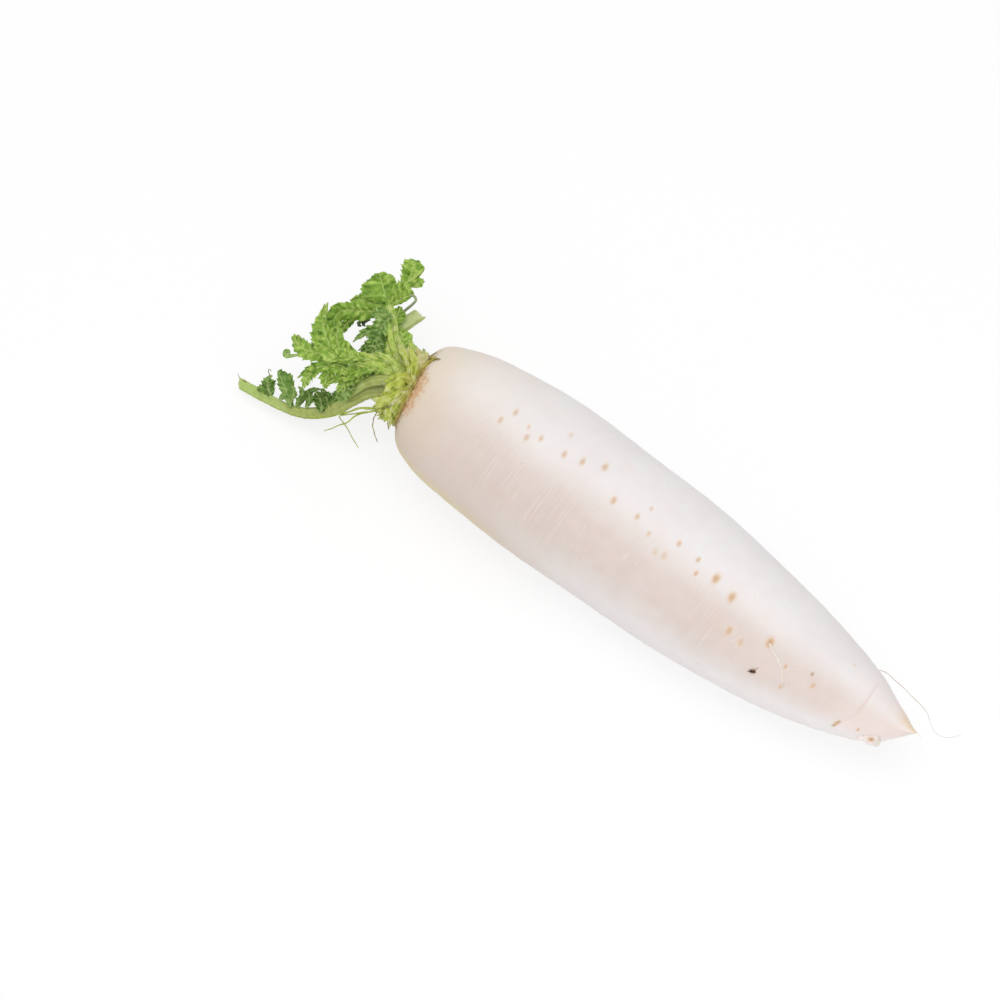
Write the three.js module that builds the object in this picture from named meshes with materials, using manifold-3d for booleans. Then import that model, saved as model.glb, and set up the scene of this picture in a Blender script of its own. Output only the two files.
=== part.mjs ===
// A long white radish of the daikon type, lying on its side, with its trimmed tuft of leaves.
// Millimetres, +Z up. The root lies along X with its crown at -X and its tip at +X. The surface
// it rests on is z = 0, and the origin is on the flat that its own weight presses into its belly.

import * as THREE from 'three';
import Module from 'manifold-3d';

const wasm = await Module();
wasm.setup();

// Driving dimensions of the root
const ROOT_LENGTH = 286;
const ROOT_RADIUS = 37.9;
const CROWN_X = -124;
const AXIS_HEIGHT = 36.1; // height of the centre line above the origin
const AXIS_FALL = 0.04; // fall of the centre line per millimetre towards the tip
const CROWN_SKEW_Y = -0.24; // the crown is cut askew: shift along X per millimetre across
const CROWN_SKEW_Z = 0.22; // and per millimetre up
const CROWN_SKEW_REACH = 45; // the skew dies away this far from the crown
const ROOT_STATIONS = 30;
const ROOT_SIDES = 27;
const FLAT_HALF_ANGLE = 12; // degrees, half the strip of the section that faces down
const PRESS_DEPTH = 1; // skin nearer the surface than this is pressed flat onto it
const PRESSED_HALF_WIDTH = 9; // half the width of the flat that this leaves

// Half thickness of the root at shares of its length, as a share of ROOT_RADIUS
const PROFILE = [
  [0.0, 0.485], [0.018, 0.68], [0.053, 0.805], [0.12, 0.925], [0.26, 1.0], [0.43, 0.968],
  [0.59, 0.908], [0.725, 0.79], [0.82, 0.634], [0.912, 0.422], [0.957, 0.26], [0.985, 0.12],
  [1.0, 0.045],
];
// Sideways drift of the centre line, in millimetres, at shares of its length
const DRIFT = [
  [0.0, -1.2], [0.05, -0.8], [0.14, 0.2], [0.26, 0.8], [0.5, -0.2], [0.7, -1.7], [0.95, -2.0], [1.0, 1.0],
];

// The crown's own directions: OUT along the leaves, ACROSS and NEAR over the crown's disc
const SEAT_RISE = 0.5; // a stalk starts this far above the disc
const SEAT_STRAIGHT = 2; // and leaves it squarely for this far
const OUT = new THREE.Vector3(-1, 0, 0);
const ACROSS = new THREE.Vector3(0, 0.911, 0.412);
const NEAR = new THREE.Vector3(0, -0.412, 0.911);
const DISC_NORMAL = new THREE.Vector3(-1, CROWN_SKEW_Y, CROWN_SKEW_Z).normalize();

const material = (color, roughness) => new THREE.MeshStandardMaterial({ color, roughness, metalness: 0 });
const FINISH = {
  skin: material('#efe6df', 0.45),
  stalk: material('#b9cf7a', 0.5),
  leaf: material('#6fae3c', 0.55),
  darkLeaf: material('#4c8a3a', 0.55),
  fibre: material('#a9bf62', 0.7),
  rootlet: material('#c9b79a', 0.7),
  dry: material('#c8b46c', 0.8),
};

const radish = new THREE.Group();

function addPiece(name, geometry, finish) {
  const mesh = new THREE.Mesh(geometry, finish);
  mesh.name = name;
  radish.add(mesh);
}

// --- Curves -----------------------------------------------------------------------------------

// A smooth curve through (share, value) pairs, read off by share
function smoothTable(pairs) {
  const curve = new THREE.SplineCurve(pairs.map(([share, value]) => new THREE.Vector2(share, value)));
  const samples = curve.getPoints(pairs.length * 40);
  return (share) => {
    const next = samples.findIndex((point) => point.x >= share);
    if (next <= 0) return samples[next === 0 ? 0 : samples.length - 1].y;
    const [a, b] = [samples[next - 1], samples[next]];
    return THREE.MathUtils.mapLinear(share, a.x, b.x, a.y, b.y);
  };
}

// Straight interpolation in a list of evenly spaced values
function between(values, share) {
  const place = THREE.MathUtils.clamp(share, 0, 1) * (values.length - 1);
  const first = Math.min(Math.floor(place), values.length - 2);
  return THREE.MathUtils.lerp(values[first], values[first + 1], place - first);
}

const radiusAt = smoothTable(PROFILE);
const driftAt = smoothTable(DRIFT);

// --- The root ---------------------------------------------------------------------------------

// A point of the skin at a distance from the crown and an angle round the centre line (0 = +Y)
function skinPoint(distance, angle, lift = 0) {
  const share = distance / ROOT_LENGTH;
  const radius = ROOT_RADIUS * radiusAt(share) + lift;
  const across = radius * Math.cos(angle);
  const up = radius * Math.sin(angle);
  const fade = Math.max(0, 1 - distance / CROWN_SKEW_REACH) ** 2;
  const x = CROWN_X + distance + fade * (CROWN_SKEW_Y * across + CROWN_SKEW_Z * up);
  return new THREE.Vector3(x, driftAt(share) + across, AXIS_HEIGHT - AXIS_FALL * (CROWN_X + distance) + up);
}

// The root's own weight presses its belly into one flat strip
function pressed(point) {
  if (point.z > PRESS_DEPTH) return point;
  return new THREE.Vector3(point.x, Math.sign(point.y) * PRESSED_HALF_WIDTH, 0);
}

// Angles round the section: a wide facet underneath, then even facets round the rest
function sectionAngles() {
  const flat = THREE.MathUtils.degToRad(FLAT_HALF_ANGLE);
  const start = -Math.PI / 2 + flat;
  const sweep = 2 * Math.PI - 2 * flat;
  return Array.from({ length: ROOT_SIDES }, (_, i) => start + (sweep * i) / (ROOT_SIDES - 1));
}

function rootGeometry() {
  const angles = sectionAngles();
  const rings = [];
  for (let i = 0; i <= ROOT_STATIONS; i += 1) {
    const distance = (ROOT_LENGTH * (1 - Math.cos((Math.PI * i) / ROOT_STATIONS))) / 2;
    rings.push(angles.map((angle) => pressed(skinPoint(distance, angle))));
  }
  return loft(rings);
}

// --- Closed shapes ----------------------------------------------------------------------------

// One closed body through a list of rings of points, with a fan over each end
function loft(rings) {
  const sides = rings[0].length;
  const middle = (ring) => ring.reduce((sum, p) => sum.add(p), new THREE.Vector3()).divideScalar(sides);
  const points = [...rings.flat(), middle(rings[0]), middle(rings[rings.length - 1])];
  const [startMiddle, endMiddle] = [points.length - 2, points.length - 1];
  const faces = [];
  for (let ring = 0; ring < rings.length - 1; ring += 1) {
    for (let side = 0; side < sides; side += 1) {
      const a = ring * sides + side;
      const b = ring * sides + ((side + 1) % sides);
      faces.push(a, b, b + sides, a, b + sides, a + sides);
    }
  }
  const last = (rings.length - 1) * sides;
  for (let side = 0; side < sides; side += 1) {
    const next = (side + 1) % sides;
    faces.push(startMiddle, next, side, endMiddle, last + side, last + next);
  }
  return closedGeometry(points.flatMap((p) => [p.x, p.y, p.z]), faces);
}

function closedGeometry(positions, faces) {
  const geometry = new THREE.BufferGeometry();
  geometry.setAttribute('position', new THREE.Float32BufferAttribute(positions, 3));
  geometry.setIndex(faces);
  if (signedVolume(geometry) < 0) {
    geometry.setIndex([...faces].reverse());
  }
  geometry.computeVertexNormals();
  return geometry;
}

function signedVolume(geometry) {
  const position = geometry.getAttribute('position');
  const index = geometry.getIndex();
  const corner = (i) => new THREE.Vector3().fromBufferAttribute(position, index.getX(i));
  let volume = 0;
  for (let i = 0; i < index.count; i += 3) {
    volume += corner(i).dot(corner(i + 1).cross(corner(i + 2))) / 6;
  }
  return volume;
}

// An oval section carried along a curve: widths and depths are lists spread evenly along it, and
// the section's wide way stays square to the facing direction
function ribbon(path, widths, depths, { facing = NEAR, sides = 8, steps = 10 } = {}) {
  const curve = new THREE.CatmullRomCurve3(path, false, 'centripetal');
  const rings = [];
  for (let i = 0; i <= steps; i += 1) {
    const share = i / steps;
    const tangent = curve.getTangentAt(share);
    const wide = new THREE.Vector3().crossVectors(tangent, facing).normalize();
    const deep = new THREE.Vector3().crossVectors(wide, tangent).normalize();
    const centre = curve.getPointAt(share);
    const ring = [];
    for (let side = 0; side < sides; side += 1) {
      const angle = (2 * Math.PI * side) / sides;
      ring.push(
        centre.clone()
          .addScaledVector(wide, (between(widths, share) / 2) * Math.cos(angle))
          .addScaledVector(deep, (between(depths, share) / 2) * Math.sin(angle)),
      );
    }
    rings.push(ring);
  }
  return loft(rings);
}

const toSolid = (geometry) => new wasm.Manifold(new wasm.Mesh({
  numProp: 3,
  vertProperties: Float32Array.from(geometry.getAttribute('position').array),
  triVerts: Uint32Array.from(geometry.getIndex().array),
}));

// Several shapes that grow into each other, joined into one body
function joined(geometries) {
  const solid = geometries.map(toSolid).reduce((whole, next) => whole.add(next));
  const mesh = solid.getMesh();
  return closedGeometry(Array.from(mesh.vertProperties), Array.from(mesh.triVerts));
}

// --- The tuft ---------------------------------------------------------------------------------

// A point given in the crown's own directions, in millimetres from the middle of its disc
function crownPoint([out, across, near]) {
  return new THREE.Vector3(CROWN_X, driftAt(0), AXIS_HEIGHT - AXIS_FALL * CROWN_X)
    .addScaledVector(OUT, out)
    .addScaledVector(ACROSS, across)
    .addScaledVector(NEAR, near);
}

// The place over the crown's skewed disc where a stalk starts
function crownSeat([across, near]) {
  const y = across * ACROSS.y + near * NEAR.y;
  const z = across * ACROSS.z + near * NEAR.z;
  return [SEAT_RISE - CROWN_SKEW_Y * y - CROWN_SKEW_Z * z, across, near];
}

function stalkPath({ seat, route }) {
  const foot = crownPoint(crownSeat(seat));
  return [foot, foot.clone().addScaledVector(DISC_NORMAL, SEAT_STRAIGHT), ...route.map(crownPoint)];
}

const LOBE = { sides: 6, steps: 6 };
const lobe = ({ path, widths, depths = [1.6, 1.6, 1] }) => ribbon(path.map(crownPoint), widths, depths, LOBE);

// Leaves: a stalk from its seat on the crown, and the lobes of the blade that it carries
const LEAVES = {
  leaf_long: {
    finish: FINISH.stalk,
    seat: [-6, 2],
    route: [[8, -6.5, 2], [18, -13, 0], [25, -24, -3], [36, -35, -8], [46, -40.5, -12], [54, -42.5, -14],
      [65, -43.5, -16], [82, -45, -18]],
    widths: [5, 5.4, 5, 4.8, 4.8, 5.2, 4.4],
    depths: [3.4, 3.6, 3.6, 3.4, 3.2, 3.2, 3],
    lobes: [
      { path: [[65, -42.5, -15.5], [69, -38.5, -14], [71.5, -34, -13]], widths: [4, 8, 4] },
      { path: [[54, -41.5, -13.5], [58, -36, -12], [64, -31, -11]], widths: [4, 8, 4] },
      { path: [[45, -39, -11.5], [45.5, -31, -10], [42.5, -26, -9]], widths: [3, 5, 3] },
      { path: [[36, -34, -8], [36.5, -28, -7], [36, -21.5, -6]], widths: [4, 10, 4] },
    ],
  },
  leaf_broad: {
    finish: FINISH.leaf,
    seat: [1, 7],
    route: [[8, 2, 6.5], [16, 1, 7], [25, 0, 8], [33, -3, 8], [41, -7, 7]],
    widths: [4.6, 5.4, 6.6, 7, 7],
    depths: [2.8, 2.6, 2.4, 2.4, 2],
    lobes: [
      { path: [[40, -7, 7], [47, -4, 9], [55, 1, 8], [60, 8, 4]], widths: [7, 11, 8, 3] },
      { path: [[41, -8, 7], [54.5, -13.5, 5], [64, -13, 2]], widths: [7, 10, 6] },
      { path: [[37, -8, 6.5], [47, -19.5, 2], [52.5, -27.5, -2]], widths: [6, 6, 3] },
      { path: [[35, -6, 7], [36.5, -19, 2], [37, -23.5, 0.5]], widths: [8, 7, 3] },
      { path: [[34, -6, 7], [27, -7.5, 4.5], [21.5, -4.5, 3.5]], widths: [6, 6, 3] },
    ],
  },
  leaf_upright: {
    finish: FINISH.leaf,
    seat: [8.5, -3.5],
    route: [[7, 8.5, -4], [14, 9, -4.5], [22, 12.5, -6], [31, 19, -8], [36.5, 25, -9], [41, 30, -9]],
    widths: [4.2, 4.2, 4, 3.8, 3.4],
    depths: [3, 3, 2.8, 2.6, 2.2],
    lobes: [
      { path: [[39, 27, -9], [47, 30, -7], [55, 32.5, -8]], widths: [10, 19, 12] },
      { path: [[38, 27, -9], [37.5, 38, -8], [38, 46, -9], [38.5, 52, -12]], widths: [8, 11, 12, 8] },
      { path: [[32, 20.5, -7.5], [42, 20.5, -6], [51, 17, -8], [56, 12, -10], [53, 3.5, -12]],
        widths: [5, 9, 11, 10, 5] },
      { path: [[31, 20, -8], [28.5, 27, -10.5], [27.5, 33, -10], [29, 37, -9], [34, 38, -8]],
        widths: [2, 1.8, 1.8, 1.8, 1.8], depths: [1.8, 1.8, 1.8] },
    ],
  },
  leaf_dark: {
    finish: FINISH.darkLeaf,
    seat: [5, 1],
    route: [[8, 6, 1.5], [17, 9, 2], [24, 12, 2], [30, 17.5, 0], [34, 21.5, -2.5]],
    widths: [3.2, 3.2, 3, 2.6, 2],
    depths: [2.4, 2.4, 2.2, 2, 1.6],
    lobes: [
      { path: [[20, 10, 2], [28, 5.5, 2.5], [34, 1, 1]], widths: [4, 6, 2.5] },
      { path: [[25, 12.5, 2], [32, 7.5, 2], [39, 2.5, 0]], widths: [4, 7, 2.5] },
      { path: [[30, 17, 0.5], [36, 14, 1], [42, 11, 0]], widths: [4, 6, 2.5] },
    ],
  },
  leaf_right: {
    finish: FINISH.leaf,
    seat: [13, -5],
    route: [[6, 13, -6], [11, 14, -7.5], [17, 17.5, -9.5], [23, 22, -11]],
    widths: [4.2, 6.4, 7.4, 6, 3],
    depths: [2.4, 2, 1.8, 1.6, 1],
    lobes: [],
  },
};

for (const [name, leaf] of Object.entries(LEAVES)) {
  const stalk = ribbon(stalkPath(leaf), leaf.widths, leaf.depths, { steps: 2 * leaf.route.length });
  addPiece(name, leaf.lobes.length ? joined([stalk, ...leaf.lobes.map(lobe)]) : stalk, leaf.finish);
}

// Bare stalks: the cut one, the pale one and the young ones of the heart
const STALKS = {
  stalk_cut: {
    seat: [9, -10.5],
    route: [[10, 9.5, -12.5], [20, 12, -15.5], [26.5, 17, -17], [27, 24, -18], [24.5, 32, -19]],
    widths: [4, 4.2, 4.2, 4.2, 4.4],
    depths: [3, 3, 3, 3, 3.2],
  },
  stalk_pale: {
    seat: [-4, 7.5],
    route: [[6, -5.5, 6.5], [12, -7.5, 5.5], [17, -9, 5], [22, -11, 4.5]],
    widths: [3.4, 3.6, 3.4, 3],
    depths: [2.4, 2.4, 2.2, 2],
  },
  stalk_inner_1: {
    seat: [9, 3.5],
    route: [[8, 9.5, 4], [14, 12, 4.5], [19, 15.5, 4]],
    widths: [3, 3.2, 2.8, 1.8],
    depths: [2, 2, 1.8, 1],
  },
  stalk_inner_2: {
    seat: [12.8, 2],
    route: [[6, 13.3, 2], [11, 15, 2], [15, 18, 1.5]],
    widths: [3, 3.2, 2.8, 1.8],
    depths: [2.2, 2, 1.8, 1],
  },
  stalk_inner_3: {
    seat: [0, 1],
    route: [[9, 0, 0.5], [17, 2, -0.5], [25, 4, -1.5]],
    widths: [2.8, 3, 2.8, 1.8],
    depths: [2.4, 2.2, 2, 1],
  },
  stalk_inner_4: {
    seat: [1.5, -4],
    route: [[7, 1.5, -5], [13, 3, -6.5], [18, 5, -8.5]],
    widths: [3.4, 3.4, 3, 1.8],
    depths: [2.6, 2.4, 2, 1],
  },
};

for (const [name, stalk] of Object.entries(STALKS)) {
  addPiece(name, ribbon(stalkPath(stalk), stalk.widths, stalk.depths), FINISH.stalk);
}

// Ragged bases of trimmed stalks: broad scales round the rim of the crown's disc, each turned to
// face away from the disc's middle. bearing is the angle round the disc from ACROSS to NEAR, and
// length is measured from the disc, which leans, at that bearing.
const BASE_RING = 13.8;
const BASE_WIDTH = 7.4;
const BASE_DEPTH = 2.6;
const TRIMMED_BASES = [
  { bearing: 52, length: 10, lean: 1.5 },
  { bearing: 84, length: 14, lean: 2.5 },
  { bearing: 116, length: 14, lean: 3 },
  { bearing: 148, length: 16, lean: 5.5 },
  { bearing: 181, length: 7.5, lean: 6 },
  { bearing: 214, length: 8, lean: 4 },
  { bearing: 246, length: 8.5, lean: 4 },
  { bearing: 278, length: 7.5, lean: 3 },
];

TRIMMED_BASES.forEach(({ bearing, length, lean }, i) => {
  const angle = THREE.MathUtils.degToRad(bearing);
  const away = (radius) => [radius * Math.cos(angle), radius * Math.sin(angle)];
  const facing = new THREE.Vector3()
    .addScaledVector(ACROSS, Math.cos(angle))
    .addScaledVector(NEAR, Math.sin(angle));
  const seat = away(BASE_RING);
  const [rise] = crownSeat(seat);
  const route = [
    [rise + length / 2, ...away(BASE_RING + lean / 6)],
    [rise + length, ...away(BASE_RING + lean)],
  ];
  const path = stalkPath({ seat, route });
  const widths = [BASE_WIDTH, BASE_WIDTH * 0.8, BASE_WIDTH * 0.6];
  const depths = [BASE_DEPTH, BASE_DEPTH * 0.8, BASE_DEPTH * 0.5];
  addPiece(`stalk_base_${i + 1}`, ribbon(path, widths, depths, { facing, steps: 5 }), FINISH.stalk);
});

// Peeled threads that hang from the trimmed bases
const FIBRE = { sides: 5, steps: 12 };
const FIBRES = [
  [[12, -21, 6], [19.7, -25, 3.5], [24, -31, 0], [31, -38, -5], [37, -40, -9], [42, -42.5, -11]],
  [[10, -23.5, 3.5], [20, -30.5, 0], [28.5, -40.5, -8]],
  [[8.5, -25, 1], [17.5, -31, 0], [21, -33.5, 0], [13, -35, 0], [2, -38.5, 0]],
  [[5.5, -24, 3], [5, -27, 1.5], [0.5, -30.5, 0]],
];

FIBRES.forEach((route, i) => {
  const path = route.map(crownPoint);
  addPiece(`fibre_${i + 1}`, ribbon(path, [1.1, 0.8, 0.6], [0.8, 0.6, 0.5], FIBRE), FINISH.fibre);
});

// --- Small dry parts --------------------------------------------------------------------------

const deg = THREE.MathUtils.degToRad;
const onSkin = (route, lift) => route.map(([distance, angle]) => skinPoint(distance, deg(angle), lift));

// A dried scale lies over the edge of the disc and down the shoulder
const scalePath = [[2.6, 18.4, 5], [0.3, 22.4, 6], [-2.2, 25.7, 6.9]].map(crownPoint);
const scaleFacing = OUT.clone().multiplyScalar(0.85).addScaledVector(ACROSS, 0.5).addScaledVector(NEAR, 0.13);
const driedScale = ribbon(scalePath, [2, 4, 2], [1, 1, 0.8], { ...LOBE, facing: scaleFacing });
addPiece('dry_scale', driedScale, FINISH.dry);

const sidePath = onSkin([[215, 115], [222, 118], [228, 130], [231, 144], [232, 157]], 0.9);
addPiece('side_rootlet', ribbon(sidePath, [0.8, 0.6], [0.8, 0.6], FIBRE), FINISH.rootlet);

const TIP_HAIR = [[138, 14.8, 39], [147, 13.6, 38.4], [154, 12.2, 37.6], [160, 10.6, 37], [165, 7.8, 35.6],
  [169, 5.8, 34.6], [173.5, 5.4, 34.6], [178, 7.8, 35.7], [181, 11, 37]];
const hairPath = [skinPoint(257, deg(24), 1), ...TIP_HAIR.map((p) => new THREE.Vector3(...p))];
addPiece('tip_rootlet', ribbon(hairPath, [0.8, 0.6], [0.8, 0.6], { sides: 5, steps: 18 }), FINISH.rootlet);

addPiece('root', rootGeometry(), FINISH.skin);

export default radish;
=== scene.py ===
"""A long white radish of the daikon type, lying on its side with its trimmed tuft of leaves.

Shapes are worked out in millimetres in the construction model's frame and become metres as they go
into a mesh. The root lies along X with its crown at -X. The tuft is given in the crown's own
directions: out along the leaves, across the crown's disc, and near, over the side that faces up.
"""

import math

import bpy
import numpy as np
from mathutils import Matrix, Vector


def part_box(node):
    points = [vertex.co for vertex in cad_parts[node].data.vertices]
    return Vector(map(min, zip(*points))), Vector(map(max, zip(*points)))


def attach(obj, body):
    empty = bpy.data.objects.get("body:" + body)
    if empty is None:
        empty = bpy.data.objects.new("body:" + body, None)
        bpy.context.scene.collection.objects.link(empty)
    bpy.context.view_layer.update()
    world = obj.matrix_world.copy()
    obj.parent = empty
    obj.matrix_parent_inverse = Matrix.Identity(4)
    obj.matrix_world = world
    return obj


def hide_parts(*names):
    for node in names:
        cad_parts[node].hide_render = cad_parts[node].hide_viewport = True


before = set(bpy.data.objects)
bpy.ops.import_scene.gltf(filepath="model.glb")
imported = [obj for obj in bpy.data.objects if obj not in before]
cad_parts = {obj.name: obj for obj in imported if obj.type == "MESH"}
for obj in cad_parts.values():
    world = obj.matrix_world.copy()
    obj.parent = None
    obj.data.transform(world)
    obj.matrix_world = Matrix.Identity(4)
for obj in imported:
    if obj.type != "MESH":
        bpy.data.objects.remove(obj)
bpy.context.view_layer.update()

MM = 0.001
rng = np.random.default_rng(7)

# --- Camera ---------------------------------------------------------------------------------------

LOOK_AT = (-53.25, -24.99, 44.33)
VIEW_AZIMUTH = 38.3
VIEW_ELEVATION = 60.0
VIEW_DISTANCE = 1500.0
VIEW_WIDTH = 463.0  # what the picture spans at LOOK_AT
SENSOR = 36.0


def make_camera():
    """The view: it stands VIEW_DISTANCE from LOOK_AT at the azimuth and elevation, and its lens is
    the sensor's width times that distance over the width that the picture spans."""
    azimuth, elevation = math.radians(VIEW_AZIMUTH), math.radians(VIEW_ELEVATION)
    back = Vector(
        (
            math.sin(azimuth) * math.cos(elevation),
            -math.cos(azimuth) * math.cos(elevation),
            math.sin(elevation),
        )
    )
    camera = bpy.data.objects.new("camera", bpy.data.cameras.new("camera"))
    bpy.context.scene.collection.objects.link(camera)
    camera.location = (Vector(LOOK_AT) + back * VIEW_DISTANCE) * MM
    camera.rotation_euler = back.to_track_quat("Z", "Y").to_euler()
    camera.data.sensor_width = SENSOR
    camera.data.lens = SENSOR * VIEW_DISTANCE / VIEW_WIDTH
    camera.data.clip_end = 20
    bpy.context.scene.camera = camera


make_camera()

# --- Sizes of the root and the crown's directions -------------------------------------------------

ROOT_LENGTH = 286.0
ROOT_RADIUS = 37.9
TIP_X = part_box("root")[1].x / MM
CROWN_X = TIP_X - ROOT_LENGTH
AXIS_HEIGHT = 36.1
AXIS_FALL = 0.04
CROWN_SKEW = np.array([-0.24, 0.22])  # shift along X per millimetre across and up
CROWN_SKEW_REACH = 45.0

# Half thickness at shares of the length, as a share of ROOT_RADIUS, and the centre line's drift
PROFILE = [
    (0.0, 0.485), (0.018, 0.68), (0.053, 0.805), (0.12, 0.925), (0.26, 1.0), (0.43, 0.968),
    (0.59, 0.908), (0.725, 0.79), (0.82, 0.634), (0.912, 0.422), (0.957, 0.26), (0.985, 0.12),
    (1.0, 0.045),
]
DRIFT = [
    (0.0, -1.2), (0.05, -0.8), (0.14, 0.2), (0.26, 0.8), (0.5, -0.2), (0.7, -1.7), (0.95, -2.0),
    (1.0, 1.0),
]

OUT = np.array([-1.0, 0.0, 0.0])
ACROSS = np.array([0.0, 0.911, 0.412])
NEAR = np.array([0.0, -0.412, 0.911])
DISC_NORMAL = np.array([-1.0, *CROWN_SKEW]) / math.hypot(1.0, *CROWN_SKEW)
SEAT_RISE = 0.5
SEAT_STRAIGHT = 2.0


# --- Curves ---------------------------------------------------------------------------------------


def cubic_through(points, steps=24):
    """A smooth curve through the points: between two of them it is the cubic whose slope at each is
    half the step between that point's neighbours. The ends count as their own neighbours."""
    knots = np.asarray(points, float)
    around = np.vstack([knots[:1], knots, knots[-1:]])
    share = np.linspace(0, len(knots) - 1, steps * (len(knots) - 1) + 1)
    first = np.minimum(share.astype(int), len(knots) - 2)
    t = (share - first)[:, None]
    before, start, end, after = (around[first + i] for i in range(4))
    return (
        start * (2 * t**3 - 3 * t**2 + 1)
        + end * (3 * t**2 - 2 * t**3)
        + (end - before) / 2 * (t**3 - 2 * t**2 + t)
        + (after - start) / 2 * (t**3 - t**2)
    )


def table(pairs):
    """A function that reads a smooth curve through (share, value) pairs at any shares."""
    curve = cubic_through(pairs, 40)
    return lambda share: np.interp(share, curve[:, 0], curve[:, 1])


def route(points, count):
    """count points evenly spaced along the smooth curve through the given ones."""
    curve = cubic_through(points)
    steps = np.linalg.norm(np.diff(curve, axis=0), axis=1)
    along = np.concatenate([[0], np.cumsum(steps)])
    even = np.linspace(0, along[-1], count)
    return np.stack([np.interp(even, along, curve[:, axis]) for axis in range(3)], axis=1)


def spread(values, count):
    """A list of values spread evenly and smoothly over count places."""
    values = np.atleast_1d(np.asarray(values, float))
    if len(values) == 1:
        return np.full(count, values[0])
    curve = cubic_through(values[:, None])[:, 0]
    return np.interp(np.linspace(0, 1, count), np.linspace(0, 1, len(curve)), curve)


def unit(vectors):
    """Each vector divided by its own length, which is taken as no less than a billionth."""
    return vectors / np.maximum(np.linalg.norm(vectors, axis=-1, keepdims=True), 1e-9)


def carried_frame(line, facing):
    """The direction along a line at each of its points, the one across it, square to the facing
    direction, and the one that faces it."""
    along = unit(np.gradient(line, axis=0))
    wide = unit(np.cross(along, np.broadcast_to(facing, line.shape)))
    return along, wide, np.cross(wide, along)


def smooth(low, high, value):
    """0 below low, 1 above high and an even S between."""
    t = np.clip((value - low) / (high - low), 0, 1)
    return t * t * (3 - 2 * t)


def ripple(seed, place, waves):
    """A gentle uneven wave of about +-1: four sines over place (any shape), with periods that the
    seed sets round the given number of waves."""
    draw = np.random.default_rng(seed)
    total = sum(
        np.sin(2 * np.pi * place * waves * draw.uniform(0.5, 1.6) + draw.uniform(0, 6.3))
        for _ in range(4)
    )
    return total / 2.2


def crumple(seed, u, v, waves):
    """An uneven quilt of about +-1 over the places (u, v): five sines that run in directions that
    the seed sets."""
    draw = np.random.default_rng(seed)
    total = 0
    for _ in range(5):
        way, rate = draw.uniform(0, np.pi), waves * draw.uniform(0.6, 1.5)
        total = total + np.sin(rate * (np.cos(way) * u + np.sin(way) * v) + draw.uniform(0, 6.3))
    return total / 2.4


radius_at = table(PROFILE)
drift_at = table(DRIFT)


def crown_point(points):
    """Points given as out, across and near, in millimetres from the middle of the crown's disc."""
    points = np.asarray(points, float)
    middle = np.array([CROWN_X, drift_at(0.0), AXIS_HEIGHT - AXIS_FALL * CROWN_X])
    return middle + points @ np.stack([OUT, ACROSS, NEAR])


def crown_way(out, across, near):
    """A direction given in the crown's own directions."""
    return unit(np.array([out, across, near], float) @ np.stack([OUT, ACROSS, NEAR]))


def crown_seat(across, near):
    """How far out the leaning disc lies at a place on it, with the rise that a stalk starts at."""
    y, z = across * ACROSS[1] + near * NEAR[1], across * ACROSS[2] + near * NEAR[2]
    return SEAT_RISE - CROWN_SKEW @ np.array([y, z])


def stalk_route(seat, points):
    """A stalk's route from its seat: squarely off the disc and then through the given points."""
    foot = crown_point([crown_seat(*seat), *seat])
    return np.vstack([foot, foot + DISC_NORMAL * SEAT_STRAIGHT, crown_point(points)])


# --- Closed skins and pieces ----------------------------------------------------------------------


def skin(rings, **masks):
    """A closed skin from rings of points (stations x sides x 3): quads between neighbouring rings,
    and a fan of triangles from the middle of the first and of the last ring. Each mask gives a
    value for every point. The faces are turned over if the volume inside comes out negative."""
    stations, sides, _ = rings.shape
    points = np.vstack([rings.reshape(-1, 3), rings[[0, -1]].mean(axis=1)])
    ring, side = np.meshgrid(np.arange(stations - 1), np.arange(sides), indexing="ij")
    ring, side = ring.ravel(), side.ravel()
    quad_ring = np.stack([ring, ring, ring + 1, ring + 1], axis=1)
    quad_side = np.stack([side, side + 1, side + 1, side], axis=1)
    quads = quad_ring * sides + quad_side % sides
    quad_uv = np.stack([quad_ring / (stations - 1), quad_side / sides], axis=2)

    edge = np.arange(sides)
    last = (stations - 1) * sides
    middle = stations * sides
    after = (edge + 1) % sides
    start_fan = np.stack([np.full(sides, middle), after, edge], axis=1)
    end_fan = np.stack([np.full(sides, middle + 1), last + edge, last + after], axis=1)
    start_uv = np.stack([np.zeros((sides, 3)), np.stack([edge + 0.5, edge + 1, edge], 1) / sides], 2)
    end_uv = np.stack([np.ones((sides, 3)), np.stack([edge + 0.5, edge, edge + 1], 1) / sides], 2)
    fans, fan_uv = np.vstack([start_fan, end_fan]), np.vstack([start_uv, end_uv])

    corners = points[np.vstack([fans, quads[:, :3], quads[:, [0, 2, 3]]])]
    volume = np.einsum("ij,ij->", corners[:, 0], np.cross(corners[:, 1], corners[:, 2]))
    if volume < 0:
        quads, quad_uv = quads[:, ::-1], quad_uv[:, ::-1]
        fans, fan_uv = fans[:, ::-1], fan_uv[:, ::-1]
    values = {}
    for name, mask in masks.items():
        mask = np.broadcast_to(mask, (stations, sides))
        values[name] = np.concatenate([mask.ravel(), [mask[0].mean(), mask[-1].mean()]])
    return {"points": points, "quads": quads, "fans": fans, "quad_uv": quad_uv, "fan_uv": fan_uv,
            "masks": values}


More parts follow.
